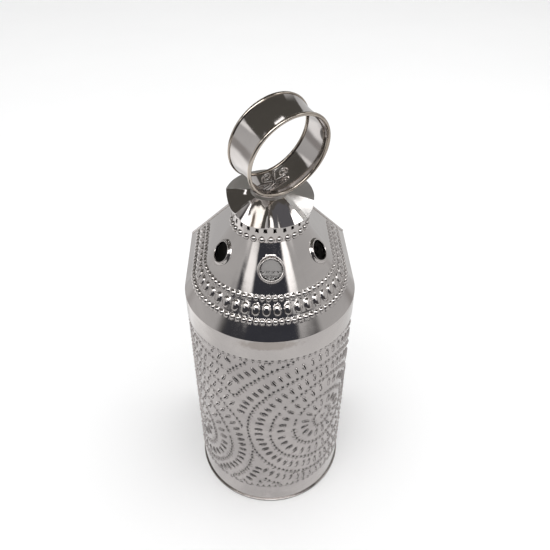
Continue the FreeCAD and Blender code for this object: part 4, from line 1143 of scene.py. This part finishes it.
def build_world():
    """Plain white light for everything but mirror rays, which see the drawn studio."""
    world = bpy.data.worlds.new("studio")
    bpy.context.scene.world = world
    world.use_nodes = True
    world.node_tree.nodes.clear()
    graph = Graph(world.node_tree)
    coords = graph.node("ShaderNodeTexCoord").outputs["Generated"]
    x, y, z = graph.node("ShaderNodeSeparateXYZ", {0: coords}).outputs
    to_degrees = 180 / math.pi
    turn = graph.math("ARCTAN2", x, graph.math("MULTIPLY", y, -1.0))
    azimuth = graph.math("MULTIPLY", turn, to_degrees)
    elevation = graph.math("MULTIPLY", graph.math("ARCSINE", z), to_degrees)
    # wavering copies, in degrees, keep the patches' edges from being straight
    wobble = graph.math("SUBTRACT", graph.noise(coords, scale=3.2, detail=2.0), 0.5)
    azimuth_w = graph.math("ADD", azimuth, graph.math("MULTIPLY", wobble, 9.0))
    elevation_w = graph.math("ADD", elevation, graph.math("MULTIPLY", wobble, 5.0))
    either_side = graph.math("ABSOLUTE", azimuth)

    def band(value, limits, soft):
        low, high = limits
        rise = graph.ramp(value, source=(low - soft, low + soft))
        fall = graph.ramp(value, source=(high - soft, high + soft), result=(1.0, 0.0))
        return graph.math("MULTIPLY", rise, fall)

    def patch(colour, azimuths, elevations, tone, soft, both_sides=False, strength=1.0):
        across = band(either_side if both_sides else azimuth_w, azimuths, soft[0])
        mask = graph.math("MULTIPLY", across, band(elevation_w, elevations, soft[1]))
        if strength != 1.0:
            mask = graph.math("MULTIPLY", mask, strength)
        return graph.mix(mask, colour, tone)

    def below(colour, levels, tone):
        """Lays a tone over all that is below the given levels."""
        mask = graph.ramp(elevation_w, source=levels, result=(1.0, 0.0))
        return graph.mix(mask, colour, tone)

    env = graph.mix(graph.ramp(elevation, source=(-4.0, 40.0)), grey(0.62), grey(0.56))
    for row in ROOM:
        env = patch(env, *row)
    # a dark area on the left whose lower edge slopes down to the left: slope and level at front
    slope, front_level = 0.353, 63.5
    line = graph.math("ADD", graph.math("MULTIPLY", azimuth_w, slope), front_level)
    above = graph.ramp(graph.math("SUBTRACT", elevation_w, line), source=(-1.5, 1.5))
    slant = graph.math("MULTIPLY", above, band(azimuth_w, limits=(-119.0, -74.0), soft=3.0))
    env = graph.mix(slant, env, (0.10, 0.095, 0.085))
    for row in CROWN_CATCHES:
        env = patch(env, *row)
    # the white sheet on the table, dark under the lantern's own foot
    env = below(env, levels=(-25.0, -17.5), tone=grey(0.80))
    env = patch(env, *SHEET_GLOW)
    env = below(env, levels=(-67.0, -61.0), tone=(0.10, 0.095, 0.095))

    glossy = graph.node("ShaderNodeLightPath").outputs["Is Glossy Ray"]
    studio = graph.node("ShaderNodeBackground", {"Color": env})
    white = graph.node("ShaderNodeBackground", {"Color": (1, 1, 1, 1), "Strength": 0.85})
    inputs = {0: glossy, 1: white.outputs[0], 2: studio.outputs[0]}
    blend = graph.node("ShaderNodeMixShader", inputs)
    graph.node("ShaderNodeOutputWorld", {0: blend.outputs[0]})


build_world()

# ------------------------------------------------------------------ lights and camera
CAMERA_PLACE = (-0.0094, -0.36355, 0.51705)
CAMERA_DIRECTION = (0.02919, 0.78032, -0.62469)
CAMERA_ROLL = 0.2256  # degrees
BEAM_TARGET = (0, -0.0398, 0.2628)
# name, place, size of the square, power; all aim at LAMP_TARGET
LAMP_TARGET = (0, 0, 0.1)
AREA_LAMPS = (
    ("key", (-0.9, -0.9, 1.7), 1.6, 8.0),
    ("fill", (1.2, -0.3, 1.5), 1.6, 6.0),
    ("top", (0.0, 0.5, 2.0), 2.0, 8.0),
)


def add_object(name, data, location):
    ob = bpy.data.objects.new(name, data)
    bpy.context.scene.collection.objects.link(ob)
    ob.location = location
    return ob


def add_lamp(name, data, location, target):
    """A lamp aimed at a point and not seen in the metal."""
    ob = add_object(name, data, location)
    aim = Vector(target) - Vector(location)
    ob.rotation_euler = aim.to_track_quat("-Z", "Y").to_euler()
    ob.visible_glossy = False


for name, location, size, power in AREA_LAMPS:
    lamp = bpy.data.lights.new(name, "AREA")
    lamp.shape = "RECTANGLE"
    lamp.size = size
    lamp.size_y = size
    lamp.energy = power
    add_lamp(name, lamp, location, LAMP_TARGET)

# a narrow beam from the camera's place, through the front vent on to the dull inside of the back
beam = bpy.data.lights.new("vent_beam", "SPOT")
beam.energy = 11.0
beam.spot_size = math.radians(2.25)
beam.spot_blend = 0.1
beam.shadow_soft_size = 0.002
add_lamp("vent_beam", beam, CAMERA_PLACE, BEAM_TARGET)

camera_data = bpy.data.cameras.new("camera")
camera_data.sensor_width = 36.0
camera_data.sensor_fit = "HORIZONTAL"
camera_data.lens = 37.09
camera_data.clip_start = 0.01
camera = add_object("camera", camera_data, CAMERA_PLACE)
roll = Quaternion((0, 0, 1), math.radians(CAMERA_ROLL))
camera.rotation_mode = "QUATERNION"
camera.rotation_quaternion = Vector(CAMERA_DIRECTION).to_track_quat("-Z", "Y") @ roll
bpy.context.scene.camera = camera
bpy.context.scene.view_settings.view_transform = "Standard"
